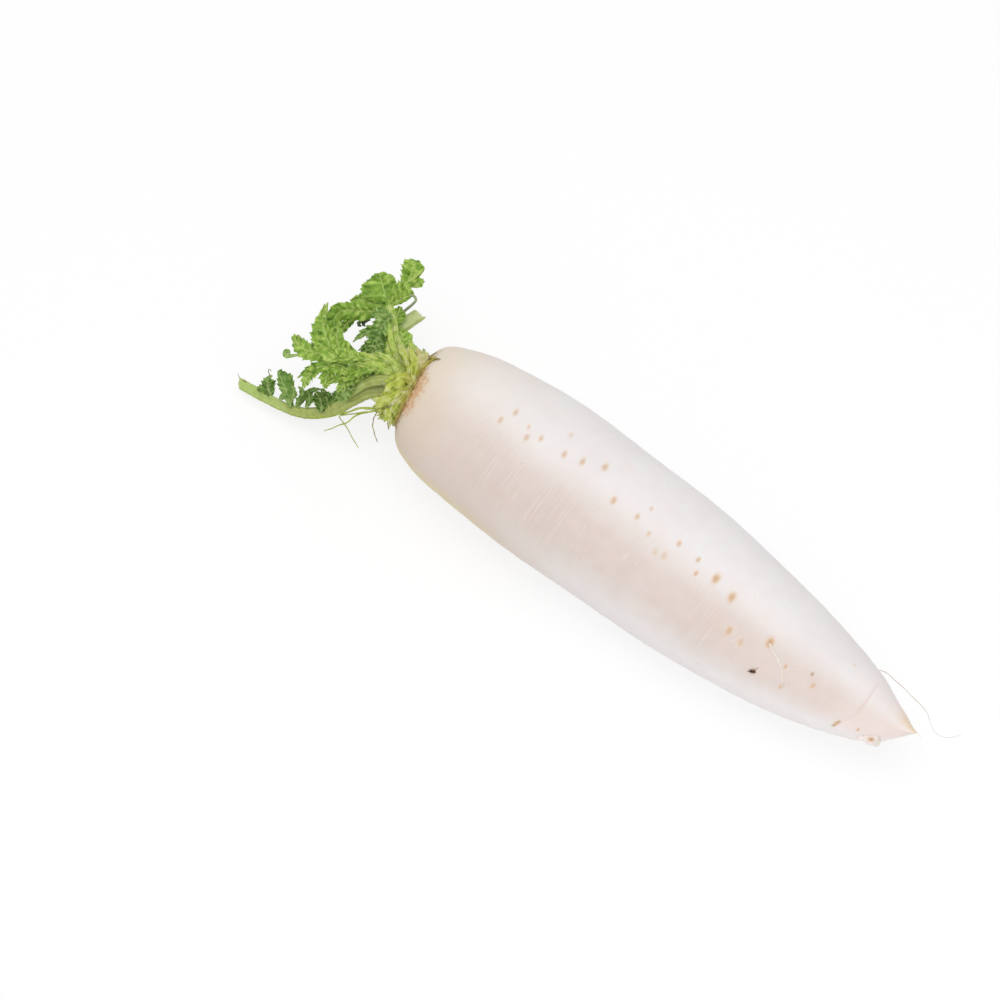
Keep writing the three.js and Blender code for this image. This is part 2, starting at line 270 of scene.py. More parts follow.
def piece(name, skins, material, node=None):
    """One named object from one or more closed skins. It rides on the root body, takes its finish
    from the slot and stands for the construction model's node, where one is given."""
    offsets = np.cumsum([0] + [len(s["points"]) for s in skins])
    points = np.vstack([s["points"] for s in skins]) * MM
    quads = np.vstack([s["quads"] + shift for s, shift in zip(skins, offsets)])
    fans = np.vstack([s["fans"] + shift for s, shift in zip(skins, offsets)])
    mesh = bpy.data.meshes.new(name)
    mesh.vertices.add(len(points))
    mesh.vertices.foreach_set("co", points.astype(np.float32).ravel())
    corners = np.concatenate([quads.ravel(), fans.ravel()]).astype(np.int32)
    mesh.loops.add(len(corners))
    mesh.loops.foreach_set("vertex_index", corners)
    starts = np.concatenate([np.arange(len(quads)) * 4, len(quads) * 4 + np.arange(len(fans)) * 3])
    mesh.polygons.add(len(starts))
    mesh.polygons.foreach_set("loop_start", starts.astype(np.int32))
    mesh.polygons.foreach_set("use_smooth", np.ones(len(starts), bool))
    mesh.update(calc_edges=True)
    uv = np.vstack([np.vstack([s["quad_uv"].reshape(-1, 2) for s in skins]),
                    np.vstack([s["fan_uv"].reshape(-1, 2) for s in skins])])
    layer = mesh.uv_layers.new(name="along and round")
    layer.data.foreach_set("uv", uv.astype(np.float32).ravel())
    for mask in skins[0]["masks"]:
        values = np.concatenate([s["masks"][mask] for s in skins])
        attribute = mesh.attributes.new(mask, "FLOAT", "POINT")
        attribute.data.foreach_set("value", values.astype(np.float32))
    mesh.validate()
    made = bpy.data.objects.new(name, mesh)
    bpy.context.scene.collection.objects.link(made)
    mesh.materials.append(material)
    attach(made, "root")
    if node:
        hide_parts(node)
    return made


# --- Shading helpers ------------------------------------------------------------------------------


def colour(red, green, blue):
    """A screen colour from 0 to 255 as the linear colour that a socket takes."""
    shares = np.array([red, green, blue]) / 255
    linear = np.where(shares <= 0.04045, shares / 12.92, ((shares + 0.055) / 1.055) ** 2.4)
    return (*linear.tolist(), 1.0)


def plug(tree, socket, value):
    """Links a socket's value in, if it is another node's output, or sets it."""
    if isinstance(value, bpy.types.NodeSocket):
        tree.links.new(value, socket)
    else:
        socket.default_value = value


def add(tree, kind, settings=None, **inputs):
    """A node of that kind, with its settings, and its inputs set or linked by name."""
    made = tree.nodes.new(kind)
    for key, value in (settings or {}).items():
        setattr(made, key, value)
    for key, value in inputs.items():
        plug(tree, made.inputs[key.replace("_", " ")], value)
    return made


def calc(tree, operation, first, second=0.0, third=0.0):
    """A Math node's result."""
    made = tree.nodes.new("ShaderNodeMath")
    made.operation = operation
    for socket, value in zip(made.inputs, (first, second, third)):
        plug(tree, socket, value)
    return made.outputs[0]


def blend_colour(tree, factor, first, second):
    """The first colour, with the second one mixed in by the factor."""
    made = tree.nodes.new("ShaderNodeMix")
    made.data_type = "RGBA"
    plug(tree, made.inputs[0], factor)
    plug(tree, made.inputs[6], first)
    plug(tree, made.inputs[7], second)
    return made.outputs[2]


def ease(tree, value, low, high, bottom=0.0, top=1.0):
    """bottom where the value is low, top where it is high, and an even S between."""
    made = add(tree, "ShaderNodeMapRange", {"interpolation_type": "SMOOTHSTEP"}, Value=value,
               From_Min=low, From_Max=high, To_Min=bottom, To_Max=top)
    return made.outputs["Result"]


def mask_of(tree, name):
    """The value that the mesh stores at each point under this name."""
    return add(tree, "ShaderNodeAttribute", {"attribute_name": name}).outputs["Fac"]


def material_with(name, **settings):
    """A new material, its tree and its Principled shader with the given plain settings."""
    made = bpy.data.materials.new(name)
    made.use_nodes = True
    tree = made.node_tree
    shader = next(n for n in tree.nodes if n.type == "BSDF_PRINCIPLED")
    for key, value in settings.items():
        shader.inputs[key.replace("_", " ")].default_value = value
    return made, tree, shader


def group(name, inputs, outputs):
    """A new shader node group: its tree, its inputs' sockets and its outputs' sockets. Each is
    given as (name, kind), and an input may have a value too."""
    tree = bpy.data.node_groups.new(name, "ShaderNodeTree")
    for label, kind, *value in inputs:
        socket = tree.interface.new_socket(label, in_out="INPUT", socket_type=f"NodeSocket{kind}")
        if value:
            socket.default_value = value[0]
    for label, kind in outputs:
        tree.interface.new_socket(label, in_out="OUTPUT", socket_type=f"NodeSocket{kind}")
    entry, way_out = tree.nodes.new("NodeGroupInput"), tree.nodes.new("NodeGroupOutput")
    return tree, entry.outputs, way_out.inputs


def use(tree, group_tree, **inputs):
    """A copy of a node group in a material, with its inputs set or linked by name."""
    return add(tree, "ShaderNodeGroup", {"node_tree": group_tree}, **inputs).outputs


def mottle_group():
    """Soft patches from two sizes of noise on the piece's own coordinates, from 0 to 1."""
    tree, entry, way_out = group(
        "mottle", [("Patches", "Float", 40.0), ("Contrast", "Float", 1.0)], [("Mask", "Float")]
    )
    place = add(tree, "ShaderNodeTexCoord").outputs["Object"]
    broad = add(tree, "ShaderNodeTexNoise", Vector=place, Scale=entry["Patches"], Detail=3.0)
    close = add(tree, "ShaderNodeTexNoise", Vector=place, Detail=2.0,
                Scale=calc(tree, "MULTIPLY", entry["Patches"], 5.0))
    mixed = calc(tree, "MULTIPLY_ADD", close.outputs["Fac"], 0.35,
                 calc(tree, "MULTIPLY", broad.outputs["Fac"], 0.65))
    spun = calc(tree, "MULTIPLY", calc(tree, "SUBTRACT", mixed, 0.5), entry["Contrast"])
    plug(tree, way_out["Mask"], calc(tree, "ADD", calc(tree, "MULTIPLY", spun, 2.6), 0.5))
    return tree


def streaks_group():
    """Thin streaks along one way of the piece's map: noise that is fine one way and long the other,
    kept where it passes a threshold."""
    tree, entry, way_out = group(
        "streaks",
        [("Along", "Float", 10.0), ("Round", "Float", 100.0), ("Lean", "Float", 0.0),
         ("From", "Float", 0.5), ("To", "Float", 0.7), ("Shift", "Float", 0.0)],
        [("Mask", "Float"), ("Raw", "Float")],
    )
    uv = add(tree, "ShaderNodeSeparateXYZ", Vector=add(tree, "ShaderNodeTexCoord").outputs["UV"])
    along, around = uv.outputs["X"], uv.outputs["Y"]
    leaning = calc(tree, "MULTIPLY_ADD", around, entry["Lean"], along)
    place = add(tree, "ShaderNodeCombineXYZ", X=calc(tree, "MULTIPLY", leaning, entry["Along"]),
                Y=calc(tree, "MULTIPLY", around, entry["Round"]), Z=entry["Shift"])
    noise = add(tree, "ShaderNodeTexNoise", Vector=place.outputs[0], Scale=1.0, Detail=2.0)
    made = add(tree, "ShaderNodeMapRange", {"interpolation_type": "SMOOTHSTEP"},
               Value=noise.outputs["Fac"], From_Min=entry["From"], From_Max=entry["To"])
    plug(tree, way_out["Mask"], made.outputs["Result"])
    plug(tree, way_out["Raw"], noise.outputs["Fac"])
    return tree


MOTTLE = mottle_group()
STREAKS = streaks_group()

# --- The root -------------------------------------------------------------------------------------

# Scars of the side roots: distance from the crown, angle round the centre line (0 = +Y, 90 = up),
# half length across the root and a tone (0 pale, 1 amber, 2 dark)
SCARS = [
    (55.8, 99.8, 1.7, 0.6), (59, 88.8, 1.8, 0.62), (68.5, 92.5, 1.2, 0.6), (71, 100, 1.9, 0.62),
    (76, 116.5, 0.6, 0.6), (76.5, 94, 1.6, 0.66), (85.8, 77.8, 1.8, 0.22), (89.8, 93.8, 1.8, 0.78),
    (98.5, 89.8, 1.9, 0.7), (108, 82.5, 2.2, 0.7), (121.2, 99.5, 2.0, 0.7), (133.5, 58, 0.5, 2),
    (134.5, 98.8, 1.6, 0.8), (137.2, 87.2, 1.3, 0.6), (143.5, 104.2, 1.4, 0.5),
    (150.8, 112, 1.7, 0.35), (150.5, 54.5, 0.5, 0.6), (155.2, 110, 2.0, 0.35), (157.2, 96, 1.5, 0.72),
    (168.5, 96.8, 1.4, 0.7), (171.5, 106.2, 1.4, 0.85), (180.2, 99.8, 2.5, 1.1), (190.8, 104.5, 2.3, 1),
    (191.2, 172.2, 0.6, 0.7), (198, 127.2, 2.1, 0.92), (198.5, 91.8, 0.5, 0.6), (205, 130.2, 1.8, 0.6),
    (216, 116, 2.5, 1), (215.8, 147.4, 1.5, 1.5), (227.2, 126, 1.2, 1), (229.5, 148.5, 1.3, 0.6),
    (238.5, 116.8, 0.9, 1.55), (241.5, 128, 1.4, 0.58), (250.2, 70.8, 0.6, 0.7), (257.6, 161, 0.9, 0.9),
    (267, 158.2, 1.1, 0.9),
]
FAR_SIDE_SCARS = 26
SCAR_NARROW = 0.64  # a scar's half width along the root, as a share of its half length
DENT_NARROW = 0.62  # the same for the dent that it lies in

# The crease near the tip: angle and distance from the crown
CREASE = [(65, 262.8), (91, 263.6), (112, 263.8), (130, 263.4), (145, 261.4), (154, 258.8), (172, 256.5)]
CREASE_DEPTH = 0.18
CREASE_WIDTH = 0.5
BREAK_AT = np.array([163.0, 1.6, 30.7])
BREAK_WAY = unit(np.array([0.74, -0.58, -0.34]))
HEEL_ANGLE = 204.0  # above the break the tip is slightly fuller here, and more so opposite
HEEL_AT = 269.0


def far_side_scars():
    """A second row on the far side, where the other rank of side roots grew: even steps along the
    root with seeded shifts."""
    steps = np.linspace(42, 262, FAR_SIDE_SCARS) + rng.uniform(-4, 4, FAR_SIDE_SCARS)
    angles = 278 + rng.uniform(-13, 13, FAR_SIDE_SCARS) + np.linspace(0, 22, FAR_SIDE_SCARS)
    sizes = rng.uniform(0.9, 2.1, FAR_SIDE_SCARS)
    tones = rng.choice([0.4, 0.7, 1.0, 1.0, 1.3], FAR_SIDE_SCARS)
    return list(zip(steps, angles, sizes, tones))


ALL_SCARS = SCARS + far_side_scars()


def turned(angle, centre):
    """An angle's signed distance from another, in degrees."""
    return (angle - centre + 180) % 360 - 180


def nearest_scar(distance, angle):
    """Where every point lies in the map of its nearest scar, in half sizes of it: along the root,
    round it, how near it is (1 on the scar, 0 well clear of it) and the scar's tone."""
    best = np.full(distance.shape, 1e9)
    along, around, tone = np.zeros((3, *distance.shape))
    for place, bearing, size, shade in ALL_SCARS:
        local = ROOT_RADIUS * radius_at(place / ROOT_LENGTH)
        y = np.radians(turned(angle, bearing)) * local / size
        lean = 0.24 - 0.0012 * place  # towards the crown's end they lean one way, then the other
        x = (distance - place - lean * y * size) / (SCAR_NARROW * size)
        off = np.hypot(distance - place, y * size)  # true millimetres
        closer = off < best
        best = np.where(closer, off, best)
        along, around = np.where(closer, x, along), np.where(closer, y, around)
        tone = np.where(closer, shade, tone)
    return np.abs(along), np.abs(around), smooth(3.4, 2.4, np.hypot(along, around)), tone


def on_crease(distance, angle):
    """1 along the crease near the tip and 0 off it."""
    crease = np.interp(angle % 360, *zip(*CREASE))
    reach = smooth(50, 76, angle % 360) * smooth(174, 168, angle % 360)
    width = CREASE_WIDTH * (1 + 0.3 * smooth(150, 158, angle % 360))
    return reach * np.exp(-(((distance - crease) / width) ** 2))


def root_relief(distance, angle):
    """How far the skin stands off the smooth root: long soft lumps, shallow rings that come and go
    round it, a lens-shaped dent with a low brim at each scar, the crease near the tip, the low
    heel above the break, and the higher brow opposite it."""
    turns = np.radians(angle)
    lumps = 0.32 * np.sin(distance / 21 + 1.7 * np.cos(turns + 0.4)) * np.cos(turns - 1.1)
    lumps += 0.22 * np.sin(distance / 13.3 + 2.1 * np.sin(turns * 2 + 0.7))
    rings = 0.055 * np.sin(distance / 1.35 + 0.8 * np.sin(turns * 2)) * np.maximum(
        0, np.sin(distance / 17 + 2.3 * np.cos(turns + 0.9)))
    rings += 0.05 * np.sin(distance / 2.3 + 1.2 * np.cos(turns * 3))
    body = smooth(6, 30, distance) * smooth(284, 262, distance)
    relief = (lumps + rings) * body
    for place, bearing, size, _ in ALL_SCARS:
        local = ROOT_RADIUS * radius_at(place / ROOT_LENGTH)
        along = (distance - place) / (DENT_NARROW * size)
        around = np.radians(turned(angle, bearing)) * local / size
        off = np.sqrt(along**2 + around**2)
        relief += -0.2 * size**0.5 * np.exp(-(off**2)) + 0.06 * np.exp(-((off - 1.7) ** 2) / 0.3)
    relief -= CREASE_DEPTH * on_crease(distance, angle)
    heel = np.maximum(0, np.cos(np.radians(turned(angle, HEEL_ANGLE)))) ** 1.5
    relief += 0.2 * heel * np.exp(-(((distance - HEEL_AT) / 7) ** 2))
    brow = np.maximum(0, np.cos(np.radians(turned(angle, HEEL_ANGLE - 180)))) ** 1.5
    relief += 0.7 * brow * np.exp(-(((distance - 262) / 22) ** 2)) * smooth(286, 276, distance)
    return relief


def skin_point(distance, angle, lift=0.0):
    """A point of the skin at a distance from the crown and an angle in degrees round the centre
    line: a circle of the profile's radius, round a line that falls and drifts, with the crown's end
    set askew."""
    share = distance / ROOT_LENGTH
    radius = ROOT_RADIUS * radius_at(share) + lift
    across, up = radius * np.cos(np.radians(angle)), radius * np.sin(np.radians(angle))
    fade = np.maximum(0, 1 - distance / CROWN_SKEW_REACH) ** 2
    x = CROWN_X + distance + fade * (CROWN_SKEW[0] * across + CROWN_SKEW[1] * up)
    y = drift_at(share) + across
    z = AXIS_HEIGHT - AXIS_FALL * (CROWN_X + distance) + up
    return np.stack([x, y, z], axis=-1)


def root_skin():
    """The whole root: the crown's disc as rings that shrink to its middle, then the body, closer
    stations where it curves most. The belly is flat where it meets the surface, and the tip is
    broken off along a slanting plane."""
    sides, stations, disc_rings = 240, 364, 16
    share = np.linspace(0, 1, stations)
    distance = ROOT_LENGTH * (0.6 * share + 0.4 * (1 - np.cos(np.pi * share)) / 2)
    angle = -90 + 360 * np.arange(sides) / sides
    d, a = np.meshgrid(distance, angle, indexing="ij")
    body = skin_point(d, a, root_relief(d, a))
    body[..., 2] = np.maximum(body[..., 2], 0)
    upper_side = np.maximum(0, np.cos(np.radians(turned(a, HEEL_ANGLE - 180))))
    body[..., 0] += 4.0 * smooth(268, 286, d) * upper_side
    beyond = (body - BREAK_AT) @ BREAK_WAY
    broken = smooth(-0.2, 0.5, beyond) * (d > 240)
    grain = 0.35 * ripple(3, body[..., 2] / 4 + body[..., 1] / 7, 1.0)
    pull = np.where(d > 240, np.maximum(beyond, 0) * (1 - 0.06 * grain), 0) + broken * 0.25 * grain
    body[..., 0] -= pull / BREAK_WAY[0]

    inward = np.linspace(0, 1, disc_rings, endpoint=False)[:, None, None]
    rim, middle = body[:1], body[0].mean(axis=0) + np.array([-1.2, 0, 0])
    disc = rim + (middle - rim) * inward
    furrowed = 1 + 0.4 * ripple(5, a[:1] / 360, 9.0)
    disc[..., 0] -= 0.7 * np.sin(np.pi * inward[..., 0]) * furrowed
    rings = np.concatenate([disc[:0:-1], body])
    far = np.concatenate([np.full((disc_rings - 1, sides), 0.0), d])
    broken = np.concatenate([np.zeros((disc_rings - 1, sides)), broken])
    on_disc = np.concatenate([np.ones((disc_rings - 1, sides)), np.zeros_like(d)])
    scar = [np.concatenate([np.zeros((disc_rings - 1, sides)), part]) for part in nearest_scar(d, a)]
    crease = np.concatenate([np.zeros((disc_rings - 1, sides)), on_crease(d, a)])
    made = skin(rings, broken=broken, disc=on_disc, scar_along=scar[0], scar_around=scar[1],
                scar_near=scar[2], scar_tone=scar[3], crease=crease)
    ring_far = far[:, 0] / ROOT_LENGTH
    uv = made["quad_uv"]
    uv[..., 0] = np.interp(uv[..., 0] * (len(ring_far) - 1), np.arange(len(ring_far)), ring_far)
    return made


# Places round the root, as a share of the turn that starts at its underside and passes its far
# side first: a quarter is the far side, a half the top and three quarters the near side.
FAR_FLANK = 0.16
UPPER_FAR_SIDE = 0.36
SEEN_SIDE = 0.578
NEAR_FLANK = 0.62
LOW_SIDE = 0.79
LOW_EDGE = 0.815


def gap_to(tree, value, place):
    """How far the value lies from the place, on either side of it."""
    return calc(tree, "ABSOLUTE", calc(tree, "SUBTRACT", value, place))


def radish_skin():
    """Pearly white skin: soft mottling, cream near the crown, painted shade as a darker pink band
    along the near flank and fainter on the far one, painted shade and a painted yellow-green
    reflection low on the shoulder, a corky brown ring under the rim, amber lenses at the scars, fine
    pale lines across, and bright flesh at the break."""
    made, tree, shader = material_with(
        "radish skin", Subsurface_Weight=0.3, Subsurface_Radius=(1.0, 0.62, 0.45),
        Subsurface_Scale=0.004, Specular_IOR_Level=0.4,
    )
    parts = add(tree, "ShaderNodeSeparateXYZ", Vector=add(tree, "ShaderNodeTexCoord").outputs["UV"])
    along, around = parts.outputs["X"], parts.outputs["Y"]
    patches = use(tree, MOTTLE, Patches=28.0, Contrast=1.0)["Mask"]
    fine = use(tree, MOTTLE, Patches=160.0, Contrast=1.0)["Mask"]
    base = blend_colour(tree, patches, colour(246, 243, 243), colour(240, 233, 232))
    # painted shade: a darker, pinker band along the near flank, and a fainter copy of it on the far flank
    flank_shade_colour = blend_colour(tree, patches, colour(230, 215, 208), colour(223, 207, 198))
    off_flank = gap_to(tree, around, NEAR_FLANK)
    off_far = gap_to(tree, around, FAR_FLANK)
    flank_shade = calc(tree, "MAXIMUM", ease(tree, off_flank, 0.13, 0.02), ease(tree, off_far, 0.12, 0.02, 0, 0.6))
    base = blend_colour(tree, flank_shade, base, flank_shade_colour)
    base = blend_colour(tree, calc(tree, "MULTIPLY", fine, 0.2), base, colour(246, 241, 238))

    # towards the crown the skin is creamier; low on the shoulder near the crown there are painted shade in
    # warm beige and a painted yellow-green reflection
    cream = calc(tree, "MULTIPLY_ADD", ease(tree, along, 0.14, 0.01), 0.5,
                 calc(tree, "MULTIPLY", ease(tree, along, 0.32, 0.05), 0.3))
    base = blend_colour(tree, cream, base, colour(236, 219, 196))
    # painted shade: a darker warm beige low on the side, over the half nearest the crown
    off_low = gap_to(tree, around, LOW_SIDE)
    low = calc(tree, "MULTIPLY", ease(tree, off_low, 0.19, 0.02), ease(tree, along, 0.5, 0.2))
    base = blend_colour(tree, calc(tree, "MULTIPLY", low, 0.75), base, colour(224, 203, 186))
    # painted reflection: a yellow-green tint along the low edge near the crown, standing in for light from
    # the leaves
    off_edge = gap_to(tree, around, LOW_EDGE)
    edge = calc(tree, "MULTIPLY", ease(tree, off_edge, 0.085, 0.03), ease(tree, along, 0.34, 0.1))
    base = blend_colour(tree, calc(tree, "MULTIPLY", edge, 0.7), base, colour(236, 222, 168))

    # the tip is a little warmer, and the crease is pink and turns brown at its lower end
    base = blend_colour(tree, ease(tree, along, 0.86, 0.98, 0.0, 0.6), base, colour(248, 234, 230))
    crease = mask_of(tree, "crease")
    faint = calc(tree, "MULTIPLY", crease, ease(tree, around, 0.56, 0.64, 0.3, 0.1))
    base = blend_colour(tree, faint, base, colour(214, 180, 168))
    base = blend_colour(tree, calc(tree, "MULTIPLY", crease, ease(tree, around, 0.672, 0.688)), base,
                        colour(196, 146, 94))

    # fine pale lines across the root, in patches
    lines = use(tree, STREAKS, Along=340.0, Round=5.5, Lean=0.12, From=0.57, To=0.66)
    cover = use(tree, MOTTLE, Patches=30.0, Contrast=2.4)["Mask"]
    cover = calc(tree, "ADD", cover, calc(tree, "MULTIPLY", ease(tree, along, 0.36, 0.24, 0.0, 0.3),
                                          ease(tree, along, 0.13, 0.18)))
    lined = calc(tree, "MULTIPLY", lines["Mask"], ease(tree, cover, 0.5, 0.9))
    lined = calc(tree, "MULTIPLY", lined, ease(tree, flank_shade, 0.2, 0.7))
    lined = calc(tree, "MULTIPLY", lined, ease(tree, along, 0.09, 0.14))
    base = blend_colour(tree, calc(tree, "MULTIPLY", lined, 0.3), base, colour(250, 244, 236))
    furrows = calc(tree, "MULTIPLY", ease(tree, lines["Raw"], 0.46, 0.38),
                   calc(tree, "MULTIPLY", ease(tree, cover, 0.5, 0.9), ease(tree, flank_shade, 0.2, 0.7)))
    base = blend_colour(tree, calc(tree, "MULTIPLY", furrows, 0.1), base, colour(204, 182, 170))

    # corky ring: broad and mottled on the side that is seen, narrow round the rest
    seen_side = ease(tree, gap_to(tree, around, SEEN_SIDE), 0.11, 0.03)
    ring_width = calc(tree, "MULTIPLY_ADD", seen_side, 0.036, 0.008)
    cork = ease(tree, calc(tree, "DIVIDE", along, ring_width), 1.15, 0.0)
    speckle = use(tree, MOTTLE, Patches=460.0, Contrast=2.8)["Mask"]
    cork_lines = use(tree, STREAKS, Along=120.0, Round=110.0, From=0.4, To=0.6, Shift=3.0)
    speckle = calc(tree, "MULTIPLY_ADD", cork_lines["Mask"], 0.2, calc(tree, "MULTIPLY", speckle, 0.9))
    corky = ease(tree, calc(tree, "MULTIPLY_ADD", cork, 1.1, speckle), 0.7, 1.45, 0.0, 0.92)
    cork_colour = blend_colour(tree, ease(tree, around, 0.54, 0.48), colour(214, 162, 108),
                               colour(168, 148, 84))
    base = blend_colour(tree, calc(tree, "MULTIPLY", cork, 0.75), base, colour(230, 198, 160))
    base = blend_colour(tree, calc(tree, "MULTIPLY", corky, calc(tree, "POWER", cork, 0.5)), base,
                        cork_colour)
    uneven = calc(tree, "MULTIPLY_ADD", speckle, -0.006, along)
    band = ease(tree, uneven, 0.012, 0.001)
    base = blend_colour(tree, calc(tree, "MULTIPLY", band, 0.75), base, colour(168, 124, 62))
    rim = ease(tree, uneven, 0.004, -0.002)
    base = blend_colour(tree, calc(tree, "MULTIPLY", rim, 0.85), base, colour(116, 96, 36))

    # scars: a soft spot with a roughened outline and a darker heart
    rough = calc(tree, "MULTIPLY_ADD", fine, 0.8, -0.4)
    lens = calc(tree, "ADD", calc(tree, "POWER", mask_of(tree, "scar_along"), 2.0),
                calc(tree, "POWER", mask_of(tree, "scar_around"), 2.0))
    lens = calc(tree, "ADD", lens, rough)
    near, tone = mask_of(tree, "scar_near"), mask_of(tree, "scar_tone")
    depth = calc(tree, "MULTIPLY", near, calc(tree, "MINIMUM", tone, 1.0))
    scar = calc(tree, "MULTIPLY", ease(tree, lens, 3.4, 0.0), depth)
    heart = calc(tree, "MULTIPLY", ease(tree, lens, 1.5, -0.5), depth)
    dark = ease(tree, tone, 1.2, 1.8)
    strokes = use(tree, STREAKS, Along=420.0, Round=90.0, Lean=-0.6, From=0.36, To=0.52)["Mask"]
    strokes = calc(tree, "MULTIPLY_ADD", strokes, 0.7, 0.3)
    heart = calc(tree, "MULTIPLY", heart, calc(tree, "MAXIMUM", calc(tree, "SUBTRACT", 1.0, dark), strokes))
    base = blend_colour(tree, calc(tree, "MULTIPLY", scar, 0.65), base,
                        blend_colour(tree, dark, colour(236, 210, 184), colour(176, 138, 108)))
    base = blend_colour(tree, calc(tree, "MULTIPLY", heart, 0.9), base,
                        blend_colour(tree, dark, colour(212, 168, 118), colour(36, 20, 12)))

    # the break and the crown's disc
    base = blend_colour(tree, mask_of(tree, "broken"), base, colour(250, 246, 238))
    upper = ease(tree, gap_to(tree, around, UPPER_FAR_SIDE), 0.16, 0.04)
    tip_tint = calc(tree, "MULTIPLY", ease(tree, along, 0.955, 0.98), upper)
    base = blend_colour(tree, calc(tree, "MULTIPLY", tip_tint, 0.5), base, colour(238, 208, 150))
    base = blend_colour(tree, mask_of(tree, "disc"), base, colour(168, 160, 82))
    plug(tree, shader.inputs["Base Color"], base)

    gloss = calc(tree, "MULTIPLY_ADD", fine, 0.16, 0.36)
    gloss = calc(tree, "MULTIPLY_ADD", calc(tree, "MAXIMUM", cork, scar), 0.25, gloss)
    plug(tree, shader.inputs["Roughness"], gloss)
    height = calc(tree, "MULTIPLY_ADD", lined, 0.5, calc(tree, "MULTIPLY", fine, 0.35))
    height = calc(tree, "MULTIPLY_ADD", calc(tree, "MULTIPLY", cork, cork_lines["Raw"]), 1.2, height)
    height = calc(tree, "SUBTRACT", height, calc(tree, "MULTIPLY", heart, 0.8))
    bump = add(tree, "ShaderNodeBump", Strength=0.35, Distance=0.0004, Height=height)
    plug(tree, shader.inputs["Normal"], bump.outputs["Normal"])
    return made


SKIN = radish_skin()
piece("root", [root_skin()], SKIN, "root")


def lump_skin(middle, ways, halves, seed, pit):
    """A lumpy closed ball: an ellipsoid along three ways, roughened by a quilt over its directions,
    with a small pit where it faces the pit's direction."""
    polar = np.linspace(0.03, np.pi - 0.03, 40)[:, None]
    turn = 2 * np.pi * np.arange(48)[None, :] / 48
    facing = np.stack([np.sin(polar) * np.cos(turn), np.sin(polar) * np.sin(turn),
                       np.cos(polar) + 0 * turn], axis=-1)
    bumps = crumple(seed, 2.2 * facing[..., 0] + facing[..., 2], 2.2 * facing[..., 1], 2.0)
    hole = np.exp(-((np.linalg.norm(facing - unit(np.array(pit)), axis=-1) / 0.45) ** 2))
    size = 1 + 0.12 * bumps - 0.2 * hole
    return skin(middle + (facing * halves * size[..., None]) @ np.array(ways), hole=hole)


def knob_finish():
    """The corky stub of a rootlet: pale with ochre patches and a dark pit."""
    made, tree, shader = material_with("rootlet stub", Roughness=0.6, Subsurface_Weight=0.2,
                                       Subsurface_Scale=0.002)
    patches = use(tree, MOTTLE, Patches=300.0, Contrast=1.8)["Mask"]
    base = blend_colour(tree, patches, colour(252, 240, 238), colour(246, 228, 216))
    base = blend_colour(tree, mask_of(tree, "hole"), base, colour(202, 156, 102))
    plug(tree, shader.inputs["Base Color"], base)
    bump = add(tree, "ShaderNodeBump", Strength=0.5, Distance=0.0004, Height=patches)
    plug(tree, shader.inputs["Normal"], bump.outputs["Normal"])
    return made


KNOB_WAYS = [(0.785, 0.62, 0), (-0.537, 0.68, 0.5), (0.31, -0.392, 0.866)]
piece("rootlet_stub", [lump_skin((149.4, -13.0, 30.7), KNOB_WAYS, (3.9, 2.6, 2.4), 12, (0, 0.1, 1)),
                       lump_skin((152.0, -12.5, 29.6), KNOB_WAYS, (2.0, 1.7, 1.6), 14, (0, 0, -1)),
                       lump_skin((146.0, -14.6, 30.9), KNOB_WAYS, (2.4, 1.3, 1.5), 15, (0, 0, -1))],
      knob_finish())

# --- Finishes of the tuft -------------------------------------------------------------------------


def leaf_finish(name, dark, mid, bright, vein):
    """Leaf blade: green that goes from dark to bright by the tone mask, paler veins and a pale thin
    rim. The tone mask holds the lobe's own tone with painted shade in the folds and painted light on
    the ridges. The masks come from the shape: vein, tone (from -1 to 1) and rim."""
    made, tree, shader = material_with(
        name, Subsurface_Weight=0.25, Subsurface_Radius=(0.55, 1.0, 0.25), Subsurface_Scale=0.0012,
        Specular_IOR_Level=0.25,
    )
    patches = use(tree, MOTTLE, Patches=150.0, Contrast=0.8)["Mask"]
    tone = calc(tree, "MULTIPLY_ADD", mask_of(tree, "tone"), 0.6, patches)
    base = blend_colour(tree, ease(tree, tone, 0.0, 0.55), dark, mid)
    base = blend_colour(tree, ease(tree, tone, 0.5, 1.1), base, bright)
    base = blend_colour(tree, calc(tree, "MULTIPLY", mask_of(tree, "rim"), 0.35), base, bright)
    cells = add(tree, "ShaderNodeTexVoronoi", {"feature": "DISTANCE_TO_EDGE"}, Scale=680.0,
                Vector=add(tree, "ShaderNodeTexCoord").outputs["Object"])
    network = ease(tree, cells.outputs["Distance"], 0.12, 0.0)
    base = blend_colour(tree, calc(tree, "MULTIPLY", network, 0.2), base, bright)
    flecks = use(tree, MOTTLE, Patches=700.0, Contrast=2.2)["Mask"]
    base = blend_colour(tree, ease(tree, flecks, 0.5, 1.0, 0.0, 0.24), base, bright)
    base = blend_colour(tree, ease(tree, flecks, 0.45, 0.0, 0.0, 0.16), base, dark)
    base = blend_colour(tree, calc(tree, "MULTIPLY", mask_of(tree, "vein"), 0.85), base, vein)
    plug(tree, shader.inputs["Base Color"], base)
    plug(tree, shader.inputs["Roughness"], calc(tree, "MULTIPLY_ADD", patches, 0.2, 0.4))
    height = calc(tree, "MINIMUM", cells.outputs["Distance"], 0.3)
    bump = add(tree, "ShaderNodeBump", Strength=0.5, Distance=0.0005, Height=height)
    plug(tree, shader.inputs["Normal"], bump.outputs["Normal"])
    return made


